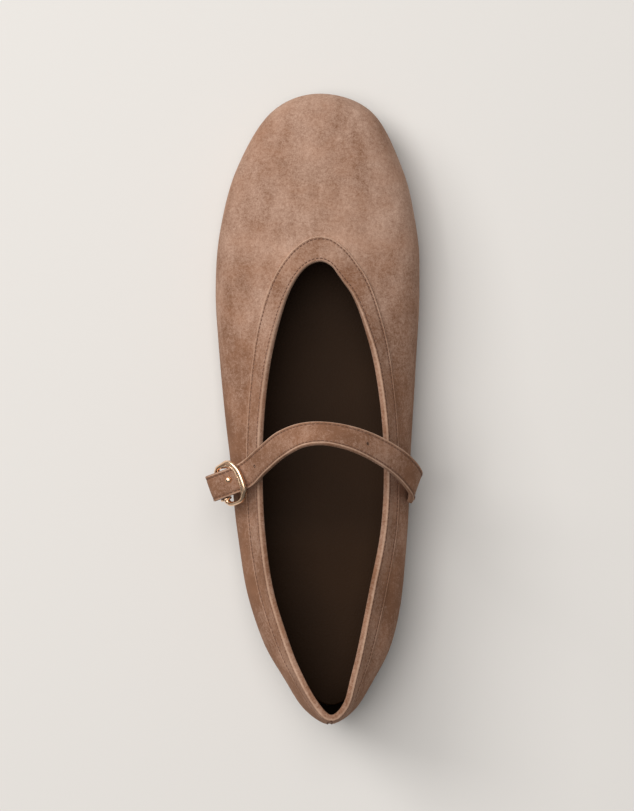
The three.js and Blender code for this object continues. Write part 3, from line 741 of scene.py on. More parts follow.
class Finish:
    """One material and the nodes that end in its surface."""

    def __init__(self, name):
        self.material = bpy.data.materials.new(name)
        self.material.use_nodes = True
        self.nodes = self.material.node_tree.nodes
        self.surface = self.nodes["Principled BSDF"]

    def add(self, kind, settings, values, output=0):
        """A node of a type with its settings and the values or links of its sockets."""
        node = self.nodes.new(kind)
        for setting, value in settings.items():
            setattr(node, setting, value)
        for key, value in values.items() if isinstance(values, dict) else enumerate(values):
            self.feed(node.inputs[key], value)
        return Flow(self, node.outputs[output])

    def feed(self, socket, value):
        """Links a flow to a socket, or sets its value."""
        if isinstance(value, Flow):
            self.material.node_tree.links.new(value.socket, socket)
        elif socket.type == "RGBA":
            socket.default_value = (*value[:3], 1.0)
        else:
            socket.default_value = value

    def place(self, stretch=(1.0, 1.0, 1.0)):
        """Place on the object, in metres, with each direction stretched."""
        spot = self.add("ShaderNodeTexCoord", {}, {}, "Object")
        return self.add("ShaderNodeMapping", {}, {"Vector": spot, "Scale": stretch})

    def part(self, spot, axis):
        """One part of a place: X, Y or Z."""
        return self.add("ShaderNodeSeparateXYZ", {}, {"Vector": spot}, axis)

    def across(self):
        """How far across a strip."""
        return self.part(self.add("ShaderNodeUVMap", {"uv_map": LAY}, {}), "Y")

    def noise(self, spot, size, detail=2.0, roughness=0.5):
        """Cloudy noise, 0 to 1, whose marks are about a size in metres."""
        values = {"Vector": spot, "Scale": 1 / size, "Detail": detail, "Roughness": roughness}
        return self.add("ShaderNodeTexNoise", {}, values, "Fac")

    def blend(self, amount, low, high):
        """A colour between two others."""
        return self.add("ShaderNodeMix", {"data_type": "RGBA"}, {0: amount, 6: low, 7: high}, 2)

    def relief(self, height, depth, strength=1.0, under=None):
        """A normal from a height, whose full depth is in metres."""
        values = {"Height": height, "Distance": depth, "Strength": strength}
        if under is not None:
            values["Normal"] = under
        return self.add("ShaderNodeBump", {}, values, "Normal")

    def end(self, **values):
        """Feeds the surface: names are its sockets with _ for a space."""
        for name, value in values.items():
            self.feed(self.surface.inputs[name.replace("_", " ")], value)
        return self.material


def suede(name, colours, darker=0.0, edges=(), rows=(), heel_shade=0.0):
    """Velvety suede: mottled nap, fine grain, lighter edges and darker stitch rows at lays across. The
    lighter edges are partly nap rubbed at cut and folded edges and partly a painted highlight. The darker
    rows are painted shade in their sunk grooves.

    Painted shade darkens it towards the heel, most near the sole.
    """
    finish = Finish(name)
    spot = finish.place()
    brushed = finish.place((1.0, 0.5, 1.0))
    clouds = finish.noise(spot, 34 * MM, 2.0, 0.5)
    patches = finish.noise(brushed, 9 * MM, 4.0, 0.62)
    hue = finish.noise(finish.place((0.8, 1.2, 1.0)), 15 * MM, 3.0, 0.6)
    flecks = finish.noise(spot, 1.3 * MM, 3.0, 0.7)
    fibres = finish.noise(spot, 0.5 * MM, 3.0, 0.8)
    nap = colours.nap
    tone = 0.55 - darker
    for mark, strength in ((clouds, 1.6), (patches, 2.4), (flecks, 2.2), (fibres, 2.6)):
        tone = tone + (mark - 0.5) * (strength * nap)
    # Painted shade: darker towards the heel, most near the sole
    if heel_shade:
        behind = 1 - finish.part(spot, "Y").step(*HEEL_SHADE_AHEAD)
        low = 1 - finish.part(spot, "Z").step(*HEEL_SHADE_UP)
        tone = tone - behind * (0.3 + low * 0.7) * heel_shade
    shade = finish.blend(tone.clamped(), colours.suede_dark, colours.suede_light)
    shade = finish.blend((hue * 3.0 - 1.25).clamped() * 0.35, shade, colours.suede_warm)
    across = finish.across()
    # Lighter edges: partly nap rubbed at cut and folded edges, partly a painted highlight on the rounded
    # edges
    for centre, width, strength in edges:
        wear_and_highlight = across.near(centre, width) * (0.3 + patches * 0.8 + flecks * 0.3) * strength
        shade = finish.blend(wear_and_highlight.clamped(), shade, colours.suede_edge)
    # Painted shade in the sunk stitch grooves: a narrow band at each row, blended a little towards the thread
    # colour
    for centre in rows:
        sunk = across.near(centre, 0.6 * MM) * 0.16
        shade = finish.blend(sunk, shade, colours.thread)
    rough = finish.relief(flecks * 0.6 + fibres * 0.4, 0.2 * MM, 0.8)
    normal = finish.relief(patches, 0.6 * MM, 0.3, rough)
    finish.end(Sheen_Weight=0.2, Sheen_Roughness=0.5, Sheen_Tint=colours.suede_edge)
    roughness = 0.85 + flecks * 0.12
    return finish.end(Base_Color=shade, Roughness=roughness, Normal=normal, Specular_IOR_Level=FAINT)


def leather(name, base, roughness, grain):
    """Smooth lining leather: a fine pebbled grain and a soft change of tone."""
    finish = Finish(name)
    spot = finish.place()
    clouds = finish.noise(spot, 30 * MM, 3.0)
    cells = finish.add("ShaderNodeTexVoronoi", {}, {"Vector": spot, "Scale": 1 / grain}, "Distance")
    pores = finish.noise(spot, grain / 3, 2.0, 0.6)
    shade = finish.blend((clouds * 0.8 + pores * 0.35 - 0.1).clamped(), toned(base, 0.72), toned(base, 1.3))
    normal = finish.relief(cells + pores * 0.5, 0.12 * MM, 0.5)
    roughness = roughness + (pores - 0.5) * 0.2
    return finish.end(Base_Color=shade, Roughness=roughness, Normal=normal, Specular_IOR_Level=FAINT)


def rubber(name, base):
    """Matte moulded rubber with a fine grain and a little dust in it."""
    finish = Finish(name)
    spot = finish.place()
    grain = finish.noise(spot, 0.6 * MM, 3.0, 0.65)
    dust = finish.noise(spot, 14 * MM, 4.0, 0.6)
    shade = finish.blend((dust * 0.7 + grain * 0.3).clamped(), base, toned(base, 1.5))
    normal = finish.relief(grain, 0.08 * MM, 0.5)
    return finish.end(Base_Color=shade, Roughness=0.62 + grain * 0.2, Normal=normal)


def plated(name, base):
    """Polished plating with faint polishing marks."""
    finish = Finish(name)
    marks = finish.noise(finish.place((1.0, 0.15, 1.0)), 0.5 * MM, 3.0, 0.6)
    tarnish = finish.noise(finish.place(), 4 * MM, 2.0)
    shade = finish.blend(tarnish * 0.4, base, toned(base, 0.82))
    normal = finish.relief(marks, 0.02 * MM, 0.3)
    return finish.end(Base_Color=shade, Metallic=1.0, Roughness=0.2 + marks * 0.12, Normal=normal)


def plain(name, base, roughness):
    """Thread and pinholes: one colour with a faint grain."""
    finish = Finish(name)
    grain = finish.noise(finish.place(), 0.3 * MM, 2.0)
    shade = finish.blend(grain, toned(base, 0.8), toned(base, 1.15))
    return finish.end(Base_Color=shade, Roughness=roughness)


# Sections and layers of the upper

# How finely the pieces are divided
RING, BAND_RING = 480, 720
FOOTBED_RIBS, SOLE_RIBS, HEEL_RIBS = 160, 560, 70
STRAP_STEPS, TAB_STEPS, PRONG_STEPS = 430, 150, 140
STRAP_ROW_STEPS, TAB_ROW_STEPS, BACK_ROW_STEPS = 300, 200, 90
WIRE_SIDES, HOLE_SIDES, THREAD_SIDES = 24, 24, 6

# Depths and heights of the upper's relief
FOOT_DROP = 0.35 * MM
BAND_FIXED_EDGE = 3 * MM
WAVE_LENGTH, CREASE_LENGTH, CREASE_HEIGHT = 46 * MM, 30 * MM, 0.12 * MM
SEAM_DEPTH, SEAM_PADDING, BAND_SEAM_DEPTH = 0.22 * MM, 0.1 * MM, 0.2 * MM
BEAD, BAND_PADDING, PUCKER = 0.1 * MM, 0.12 * MM, 0.05 * MM
OUTER_GROOVE, INNER_GROOVE, GROOVE_WIDTH = 0.16 * MM, 0.14 * MM, 0.35 * MM
PLEATS, PLEAT_HEIGHT = 96, 0.18 * MM


def skin_rises():
    """Rises of the skin's rows, closer at the foot."""
    return np.concatenate((np.linspace(0, LOWER_SHARE, 16), np.linspace(LOWER_SHARE, 0.996, 52)[1:]))


def shell_sections(place, outer, inner, rises):
    """Loops up the outer face and down the inner one, let down a little onto the sole."""
    drop = UP * FOOT_DROP
    up = off_wall(place[:, None], rises[None, :], outer)
    down = off_wall(place[:, None], rises[None, ::-1], inner)
    return np.concatenate((up[:, :1] - drop, up, down, down[:, -1:] - drop), axis=1)


def drop_from_top(line):
    """Distance of each point of a line from its last one, along the line."""
    steps = np.linalg.norm(np.diff(line, axis=1), axis=-1)
    total = np.pad(steps.cumsum(axis=1), ((0, 0), (1, 0)))
    return total[:, -1:] - total


def skin_relief(place, rises, sizes):
    """Unevenness of the skin, its back seam and the small pleats over the feather edge."""
    line = wall(place[:, None], rises[None, :])
    free = smooth_step(0.02, 0.3, rises) * (1 - smooth_step(0.75, 0.92, rises))
    relief = sizes.unevenness * free * waves(line, WAVE_LENGTH, seed=4)
    behind = np.minimum(place, 1 - place)[:, None]
    at_back = behind < 0.05
    away = np.abs(line[..., 0] - line[:1, :, 0])
    seam = SEAM_PADDING * bump(away, 1.5 * MM, 1.1 * MM) - SEAM_DEPTH * bump(away, 0, 0.4 * MM)
    toe = smooth_step(0.3, 0.4, place) * (1 - smooth_step(0.6, 0.7, place))
    pleats = np.sin(place * CIRCLE * PLEATS + 3 * np.sin(place * 40)) * toe
    return relief + np.where(at_back, seam, 0) + PLEAT_HEIGHT * pleats[:, None] * bump(rises, 0.0, 0.07)


def band_height(inward, sizes):
    """Height of the band over the wall, at a lay of 0 at its outer edge and its full width at the topline."""
    rise = sizes.band * np.sqrt(np.clip(inward / (0.4 * MM), 0, 1))
    bead = BEAD * bump(inward, 0.45 * MM, 0.3 * MM)
    outer_groove = OUTER_GROOVE * bump(inward, sizes.outer_row, GROOVE_WIDTH)
    inner_groove = INNER_GROOVE * bump(inward, BAND_WIDTH - sizes.inner_row, GROOVE_WIDTH)
    padding = BAND_PADDING * np.sin(math.pi * np.clip(inward / BAND_WIDTH, 0, 1))
    return rise + bead - outer_groove - inner_groove + padding


def below_topline(place, lay):
    """Distances down from the topline for lays across the band, whose middle stretches with its width."""
    width, edge = band_width(place), BAND_FIXED_EDGE
    middle = (lay - edge) / (BAND_WIDTH - 2 * edge)
    inward = np.where(lay < edge, lay, edge + middle * (width - 2 * edge))
    return np.where(lay > BAND_WIDTH - edge, BAND_WIDTH - lay, width - inward)


def band_sections(place, sizes):
    """Loops of the band: in from its outer edge, over the topline and down the inside, with its back."""
    inward = np.concatenate((
        np.linspace(0, 0.5 * MM, 7),
        np.linspace(0.6 * MM, 2.2 * MM, 10),
        np.linspace(BAND_FIXED_EDGE, BAND_WIDTH - BAND_FIXED_EDGE, 7),
        np.linspace(BAND_WIDTH - 2.2 * MM, BAND_WIDTH, 12),
    ))
    rises = rise_below_top(place, below_topline(place, inward))
    seam = BAND_SEAM_DEPTH * bump(np.minimum(place, 1 - place), 0, 0.0016)
    height = band_height(inward, sizes)[None, :] - seam[:, None]
    for row, seed in ((sizes.outer_row, 0.0), (BAND_WIDTH - sizes.inner_row, 0.7)):
        puckers = PUCKER * np.sin(CIRCLE * (place * 300 + seed))
        height = height + puckers[:, None] * bump(inward, row, 0.9 * MM)
    spot = np.broadcast_to(place[:, None], rises.shape)
    face = off_wall(spot, rises, height)

    top, normal = wall(place, 1.0), wall_normal(place, 1.0)
    upward = unit(wall(place, 1.0) - wall(place, 1 - 5 * PROBE))
    turn = np.linspace(0, math.pi, 13)[1:-1]
    edge = height[:, -1:]
    offset = (edge - UPPER_WALL) / 2 + (edge + UPPER_WALL) / 2 * np.cos(turn)
    fold = top[:, None] + normal[:, None] * offset[..., None]
    fold = fold + upward[:, None] * (sizes.lip * np.sin(turn))[None, :, None]

    drops = np.array((0, 0.35, 0.7, 0.95, 1.0, 0.9, 0.0)) * sizes.lip_depth
    depths = -UPPER_WALL + np.array((0, 0, 0, 0.06, 0.25, 0.4, 0.4)) * MM
    inside_rises = rise_below_top(place, drops)
    inside = off_wall(np.broadcast_to(place[:, None], inside_rises.shape), inside_rises, depths)

    under_inward = np.linspace(BAND_WIDTH, 0, 5)
    under_rises = rise_below_top(place, below_topline(place, under_inward))
    under_spot = np.broadcast_to(place[:, None], under_rises.shape)
    under = off_wall(under_spot, under_rises, LAYER_GAP)
    lay = np.concatenate((
        inward,
        BAND_WIDTH + turn * 0.7 * MM,
        BAND_WIDTH + 2.4 * MM + drops[:5],
        BAND_WIDTH + 2.4 * MM + drops[4:5] + (0.3 * MM, 2.6 * MM),
        BAND_WIDTH + 9 * MM + under_inward[::-1],
    ))
    return np.concatenate((face, fold, inside, under), axis=1), lay


# Plates under the foot


def plate_sections(ribs, edge, layers, columns, under_relief=None):
    """Loops across a plate over the sole's plan. Layers run from its top to its bottom: inset and height."""
    loops = []
    across = np.linspace(0, 1, columns + 1)
    for rib in ribs:
        sides = [edge(rib, inset) for inset, _ in layers]
        heights = [height for _, height in layers]

        def spots(plan, height):
            return np.column_stack((plan, height(plan[:, 1])))

        upper = mix(sides[0][0], sides[0][1], across[:, None])
        lower = mix(sides[-1][1], sides[-1][0], across[:, None])
        loop = [spots(upper, heights[0])]
        loop += [spots(side[1][None], height) for side, height in zip(sides[1:-1], heights[1:-1])]
        bottom = spots(lower, heights[-1])
        if under_relief is not None:
            bottom[:, 2] += under_relief(bottom, np.minimum(across, 1 - across))
        loop.append(bottom)
        loop += [spots(side[0][None], height) for side, height in zip(sides[-2:0:-1], heights[-2:0:-1])]
        loops.append(np.vstack(loop))
    return np.array(loops) + BACK


def sole_edge(offset):
    """Outer and inner point of a rib of the sole's plan, 0 at the heel and 1 at the toe."""

    def edge(rib, inset):
        return feather_point(np.array((rib / 2, 1 - rib / 2)), offset - inset)

    return edge


def rib_shares(count):
    """Shares of the ribs from heel to toe, closer together at both ends."""
    even = np.linspace(0, 1, count)
    return mix(even, (1 - np.cos(math.pi * even)) / 2, 0.35)


def rounded_layers(top, bottom, radius, steps):
    """Layers of a plate with round edges, between two heights given as functions of the length."""
    upper, lower = [], []
    for turn in np.linspace(0, math.pi / 2, steps):
        near, far = radius * (1 - math.cos(turn)), radius * (1 - math.sin(turn))
        upper.append((far, lambda y, near=near: top(y) - near))
        lower.append((near, lambda y, far=far: bottom(y) + far))
    return upper + lower


# Strips: the strap and the tab


def strip_outline(half, deep, corner, columns):
    """Across, out and lay of a strip's section, over its top and back underneath."""
    turns = np.linspace(math.pi, math.pi / 2, 5)
    flat = np.linspace(corner - half, half - corner, columns)[1:-1]
    under = np.linspace(half - corner, corner - half, 9)
    left = np.column_stack((corner - half + corner * np.cos(turns), deep - corner + corner * np.sin(turns)))
    right = left[::-1] * (-1, 1)
    top = np.column_stack((flat, np.full(len(flat), deep)))
    bottom = np.column_stack((under, np.full(len(under), -deep)))
    below = (right[::-1][:0:-1] * (1, -1), bottom[1:-1], left[::-1][:-1] * (1, -1))
    points = np.vstack((left, top, right, *below))
    over = len(left) + len(top) + len(right)
    lay = np.where(np.arange(len(points)) < over, points[:, 0] + half, 3 * half - points[:, 0])
    return points[:, 0], points[:, 1], lay


def strip_sections(points, hints, shares, widths, thickness, sizes, columns=27, rows=True):
    """Loops of a strip along a path, with soft beads and sunk stitch rows along both edges."""
    centre, across, face = ribbon_frames(points, hints, shares)
    half = widths.max() / 2
    spread, out, lay = strip_outline(half, thickness / 2, 0.55 * MM, columns)
    from_edge = half - np.abs(spread)
    on_top = out > 0
    out = out + on_top * 0.14 * MM * bump(from_edge, 0.55 * MM, 0.4 * MM)
    out = out + on_top * 0.1 * MM * np.cos(spread / half * math.pi / 2)
    if rows:
        out = out - on_top * 0.26 * MM * bump(from_edge, sizes.edge_row, 0.4 * MM)
    narrow = (widths / widths.max())[:, None]
    spread = np.broadcast_to(spread, (len(shares), len(spread))) * narrow
    sections = centre[:, None] + across[:, None] * spread[..., None] + face[:, None] * out[:, None]
    return sections, lay, (centre, across, face)


def strap_widths(shares):
    """Width of the strap along its path, drawn in to a blunt point at the tail."""
    from_tip = np.minimum(1, (1 - shares) / TIP_LENGTH)
    return STRAP_WIDTH * mix(TIP_WIDTH, 1, from_tip**TIP_POWER)


def circle(count):
    """Angles evenly round a circle."""
    return np.linspace(0, CIRCLE, count, endpoint=False)


def wire_sections(points, shares, radii, hint):
    """Loops of a round wire along a path."""
    along = path_tangents(points, shares)
    side = unit(hint - along * (along @ hint)[:, None])
    face = np.cross(side, along)
    turn = circle(WIRE_SIDES)[:, None]
    ring = side[:, None] * np.cos(turn) + face[:, None] * np.sin(turn)
    return path_points(points, shares)[:, None] + ring * radii[:, None, None]


# Plan points near the strap's two free holes, and the loops of a hole's dark cup, which is painted shade in
# the
# hole: each a share of the hole's width and millimetres over the strap's face
STRAP_HOLES = ((-28.6 * MM, 71.4 * MM), (14.6 * MM, 76.9 * MM))
HOLE_CUP = ((0.25, -0.7), (0.5, -0.7), (0.5, 0.02), (0.42, 0.02), (0.4, -0.45), (0.05, -0.5))
HOLE_DEPTH = 0.9 * MM


def hole_shares(points):
    """Shares of the strap's path where its holes are."""
    fine = np.linspace(0, 1, 2000)
    line = path_points(points, fine)
    found = []
    for x, y in STRAP_HOLES:
        away = np.hypot(line[:, 0] - x, line[:, 1] - y)
        away[line[:, 2] < SIDE_HEIGHT] = 1
        found.append(fine[away.argmin()])
    return found


def hole_cup(points, hints, spot, width):
    """The middle of a punched hole and the loops of its dark cup, painted shade in the hole."""
    middle, side, out = (line[0] for line in ribbon_frames(points, hints, np.array((spot,))))
    turn = circle(HOLE_SIDES)[:, None]
    ring = width * (side * np.cos(turn) + np.cross(side, out) * np.sin(turn))
    top = middle + out * STRAP_THICKNESS / 2
    return middle, np.array([top + ring * wide + out * height * MM for wide, height in HOLE_CUP])


# Stitches


def stitch_mesh(name, reach, radius, lift, rings=6, centre=0.0):
    """A short thread that arches between two holes, or a flat dark hole: a patch of painted shade."""
    turns = np.linspace(0.12, math.pi - 0.12, rings)
    ring = circle(THREAD_SIDES)
    sections = []
    for turn in turns:
        x = centre - reach / 2 * math.cos(turn)
        fat = radius * math.sin(turn) ** 0.45
        z = lift * math.sin(turn) - radius * 0.35
        sections.append(vector(x, fat * np.cos(ring), z + fat * 0.8 * np.sin(ring)))
    piece = lofted_piece(name, np.array(sections), 0.0, caps=(True, True), crease=80)
    piece.hide_render = True
    return piece


def stitch_tree():
    """Geometry nodes that sew stitches and their pinholes along rows."""
    tree = bpy.data.node_groups.new("sewn row", "GeometryNodeTree")
    face = tree.interface
    face.new_socket("Geometry", in_out="OUTPUT", socket_type="NodeSocketGeometry")
    for name, kind in (
        ("Geometry", "NodeSocketGeometry"), ("Pitch", "NodeSocketFloat"), ("Stitch", "NodeSocketObject"),
        ("Pinhole", "NodeSocketObject"), ("Thread", "NodeSocketMaterial"), ("Dark", "NodeSocketMaterial"),
    ):
        face.new_socket(name, in_out="INPUT", socket_type=kind)

    def node(kind, settings=(), **links):
        made = tree.nodes.new(kind)
        for setting, value in dict(settings).items():
            setattr(made, setting, value)
        for name, source in links.items():
            socket = made.inputs[name.replace("_", " ")]
            if isinstance(source, bpy.types.NodeSocket):
                tree.links.new(source, socket)
            else:
                socket.default_value = source
        return made.outputs

    given = node("NodeGroupInput")
    row = node("GeometryNodeMeshToCurve", Mesh=given["Geometry"])["Curve"]
    spots = node("GeometryNodeResampleCurve", {"mode": "LENGTH"}, Curve=row, Length=given["Pitch"])["Curve"]
    heading = node("GeometryNodeInputTangent")["Tangent"]
    outward = node("GeometryNodeInputNamedAttribute", {"data_type": "FLOAT_VECTOR"}, Name=FACE)["Attribute"]
    ahead = node("FunctionNodeAlignRotationToVector", {"axis": "X"}, Vector=heading)["Rotation"]
    turned = node(
        "FunctionNodeAlignRotationToVector", {"axis": "Z", "pivot_axis": "X"}, Rotation=ahead, Vector=outward
    )["Rotation"]
    sewn = []
    for shape, colour_name in (("Stitch", "Thread"), ("Pinhole", "Dark")):
        what = node("GeometryNodeObjectInfo", Object=given[shape])["Geometry"]
        copies = node("GeometryNodeInstanceOnPoints", Points=spots, Instance=what, Rotation=turned)
        real = node("GeometryNodeRealizeInstances", Geometry=copies["Instances"])["Geometry"]
        sewn.append(node("GeometryNodeSetMaterial", Geometry=real, Material=given[colour_name])["Geometry"])
    joined = tree.nodes.new("GeometryNodeJoinGeometry")
    for source in sewn:
        tree.links.new(source, joined.inputs[0])
    node("NodeGroupOutput", Geometry=joined.outputs[0])
    return tree


def sew(name, rows, thread, pinhole, tools, pitch):
    """A piece of stitches along rows: each row is its points, the face's direction there and if it closes."""
    points, faces, edges = [], [], []
    for spots, outward, closed in rows:
        first, count = len(points), len(spots)
        points += list(spots)
        faces += list(np.broadcast_to(outward, spots.shape))
        edges += [(first + step, first + step + 1) for step in range(count - 1)]
        if closed:
            edges.append((first + count - 1, first))
    mesh = bpy.data.meshes.new(name)
    mesh.from_pydata([tuple(point) for point in points], edges, [])
    outward = mesh.attributes.new(FACE, "FLOAT_VECTOR", "POINT")
    outward.data.foreach_set("vector", np.array(faces, np.float32).ravel())
    piece = bpy.data.objects.new(name, mesh)
    bpy.context.scene.collection.objects.link(piece)
    modifier = piece.modifiers.new("sewing", "NODES")
    modifier.node_group = tools["tree"]
    given = {
        "Pitch": pitch, "Stitch": tools["stitch"], "Pinhole": tools["pinhole"],
        "Thread": thread, "Dark": pinhole,
    }
    for socket in tools["tree"].interface.items_tree:
        if socket.name in given:
            modifier[socket.identifier] = given[socket.name]
    apply_modifiers(piece)
    return piece


# The finishes, made once and shared

FINISHES = {}


def finishes():
    """All finishes of the shoe, made when the first piece asks for one."""
    if not FINISHES:
        colours, sizes = bpy.context.scene.shoe_colours, bpy.context.scene.shoe_sizes
        band_rows = (sizes.outer_row, BAND_WIDTH - sizes.inner_row)
        strap_rows = (sizes.edge_row, STRAP_WIDTH - sizes.edge_row)
        # Lighter edge strips: partly rubbed nap, partly a painted highlight on the rounded edges and the
        # topline's fold
        band_edges = ((0.2 * MM, 0.6 * MM, 1.0), (BAND_WIDTH + 0.6 * MM, 0.5 * MM, 0.5))
        strap_edges = ((0.4 * MM, 0.3 * MM, 0.7), (STRAP_WIDTH - 0.4 * MM, 0.3 * MM, 0.7))
        tab_edges = ((0, 0.4 * MM, 0.6), (TAB_WIDTH, 0.4 * MM, 0.6))
        FINISHES.update(
            # The upper and the band get painted shade towards the heel
            upper=suede("upper suede", colours, heel_shade=0.85),
            band=suede("band suede", colours, 0.24, band_edges, band_rows, heel_shade=0.25),
            strap=suede("strap suede", colours, 0.38, strap_edges, strap_rows),
            tab=suede("tab suede", colours, 0.4, tab_edges),
            lining=leather("lining leather", colours.lining, 0.62, 0.8 * MM),
            footbed=leather("footbed leather", colours.footbed, 0.55, 0.7 * MM),
            sole=rubber("sole rubber", colours.rubber),
            heel=rubber("heel rubber", toned(colours.rubber, 0.8)),
            metal=plated("rose gold plating", colours.metal),
            thread=plain("thread", colours.thread, 0.7),
            quiet_thread=plain("quiet thread", colours.quiet_thread, 0.8),
            # Painted shade of the needle holes and the strap's punched holes
            pinhole=plain("pinhole", colours.pinhole, 0.9),
        )
    return FINISHES


SEWING = {}


def sewing():
    """The stitch, the pinhole and the nodes that sew them, made once."""
    if not SEWING:
        sizes = bpy.context.scene.shoe_sizes
        reach = sizes.pitch * 0.64
        SEWING.update(
            tree=stitch_tree(),
            stitch=stitch_mesh("stitch", reach, sizes.thread / 2, 0.1 * MM),
            pinhole=stitch_mesh("pinhole", 0.3 * MM, 0.14 * MM, 0.01 * MM, 4, reach / 2),
        )
    return SEWING


class ShoeOperator:
    """What the operators of the shoe's pieces share."""

    bl_options = {"REGISTER", "UNDO"}

    def execute(self, context):
        """Makes the pieces."""
        self.make(context.scene.shoe_sizes, finishes())
        return {"FINISHED"}


class FLAT_OT_upper(ShoeOperator, bpy.types.Operator):
    """The upper: a suede skin over the last, closed at the back by a seam"""

    bl_idname = "flat.upper"
    bl_label = "Suede upper"

    def make(self, sizes, finish):
        place = np.arange(RING) / RING
        rises = skin_rises()
        relief = skin_relief(place, rises, sizes)
        sections = shell_sections(place, relief, np.full(len(rises), -sizes.skin), rises)
        down = drop_from_top(sections[:, : len(rises) + 1])
        lay = np.concatenate((down, down[:, ::-1]), axis=1)
        skin = lofted_piece("upper_suede", sections, lay, ring=True)
        place_piece(skin, finish["upper"], "suede", "upper")


class FLAT_OT_band(ShoeOperator, bpy.types.Operator):
    """The topline band, folded over the edge of the opening"""

    bl_idname = "flat.band"
    bl_label = "Topline band"

    def make(self, sizes, finish):
        sections, lay = band_sections(np.arange(BAND_RING) / BAND_RING, sizes)
        band = lofted_piece("topline_band_suede", sections, lay, ring=True)
        place_piece(band, finish["band"], "band_suede", "topline_band")


class FLAT_OT_lining(ShoeOperator, bpy.types.Operator):
    """The lining leather inside the upper and the footbed on the sole"""

    bl_idname = "flat.lining"
    bl_label = "Lining and footbed"

    def make(self, sizes, finish):
        place = np.arange(RING) / RING
        rises = np.linspace(0, 0.99, 36)
        outer = np.full(len(rises), -sizes.skin - 0.04 * MM)
        lining_face = -sizes.skin - sizes.lining
        creases = CREASE_HEIGHT * waves(wall(place[:, None], rises[None, ::-1]), CREASE_LENGTH, seed=9)
        sections = shell_sections(place, outer, lining_face + creases, rises)
        lining = lofted_piece("lining_leather", sections, 0.0, ring=True)
        place_piece(lining, finish["lining"], "footbed")

        def top(y):
            return sole_top(y) + CLEARANCE + INSOLE_THICKNESS

        def bottom(y):
            return sole_top(y) + LAYER_GAP

        layers = rounded_layers(top, bottom, 0.5 * MM, 4)
        edge = sole_edge(-sizes.skin - sizes.lining - 0.25 * MM)
        sections = plate_sections(rib_shares(FOOTBED_RIBS), edge, layers, 12)
        footbed = lofted_piece("footbed_leather", sections, 0.0)
        place_piece(footbed, finish["footbed"], "footbed", "insole")


TREAD_DEPTH, TREAD_PITCH = 0.5 * MM, 3.6 * MM
TREAD_SWAY, TREAD_WAVE = 1.3 * MM, 13 * MM
HEEL_INSET = 0.35 * MM
HEEL_LINE, HEEL_GROOVE = 3.4 * MM, 0.25 * MM


class FLAT_OT_sole(ShoeOperator, bpy.types.Operator):
    """The outsole with its tread, and the heel lift of two layers"""

    bl_idname = "flat.sole"
    bl_label = "Outsole and heel"

    def make(self, sizes, finish):
        def tread(points, from_side):
            x, y = points[:, 0], points[:, 1]
            phase = (y + TREAD_SWAY * np.sin(x * CIRCLE / TREAD_WAVE)) * CIRCLE / TREAD_PITCH
            groove = smooth_step(0.55, 0.9, np.cos(phase))
            field = smooth_step(0.42, 0.46, y / LAST_LENGTH) * (1 - smooth_step(0.9, 0.93, y / LAST_LENGTH))
            return TREAD_DEPTH * groove * field * smooth_step(0.08, 0.1, from_side)

        layers = rounded_layers(sole_top, sole_under, 0.7 * MM, 5)
        sections = plate_sections(rib_shares(SOLE_RIBS), sole_edge(SOLE_MARGIN), layers, 36, tread)
        outsole = lofted_piece("outsole_rubber", sections, 0.0, crease=60)
        place_piece(outsole, finish["sole"], "sole", "outsole")

        back = feather_point(np.array(0.0), SOLE_MARGIN)[1]
        breast = back + HEEL_LENGTH
        spots = np.linspace(0, 0.5, 900)
        sides = (feather_point(line, SOLE_MARGIN)[:, 1] for line in (spots, 1 - spots))
        ends = [np.interp(breast, side, spots) for side in sides]

        def edge(rib, inset):
            return feather_point(np.array((rib * ends[0], 1 - rib * ends[1])), SOLE_MARGIN - inset)

        levels = (
            (HEEL_INSET + 0.45 * HEEL_TAPER, HEEL_LINE + HEEL_GROOVE),
            (HEEL_INSET + 0.45 * HEEL_TAPER + HEEL_GROOVE, HEEL_LINE),
            (HEEL_INSET + 0.5 * HEEL_TAPER, HEEL_LINE - HEEL_GROOVE),
            (HEEL_TAPER, 0.6 * MM),
            (HEEL_TAPER + 0.2 * MM, 0.2 * MM),
            (HEEL_TAPER + 0.6 * MM, 0),
        )
        layers = [(HEEL_INSET, lambda y: sole_under(y) - LAYER_GAP)]
        layers += [(inset, lambda y, height=height: height + 0 * y) for inset, height in levels]
        ribs = np.sin(np.linspace(0, math.pi / 2, HEEL_RIBS)) ** 1.2
        sections = plate_sections(ribs, edge, layers, 24)
        heel = lofted_piece("heel_lift_rubber", sections, 0.0, caps=(False, True), crease=40)
        place_piece(heel, finish["heel"], "heel", "heel_lift")


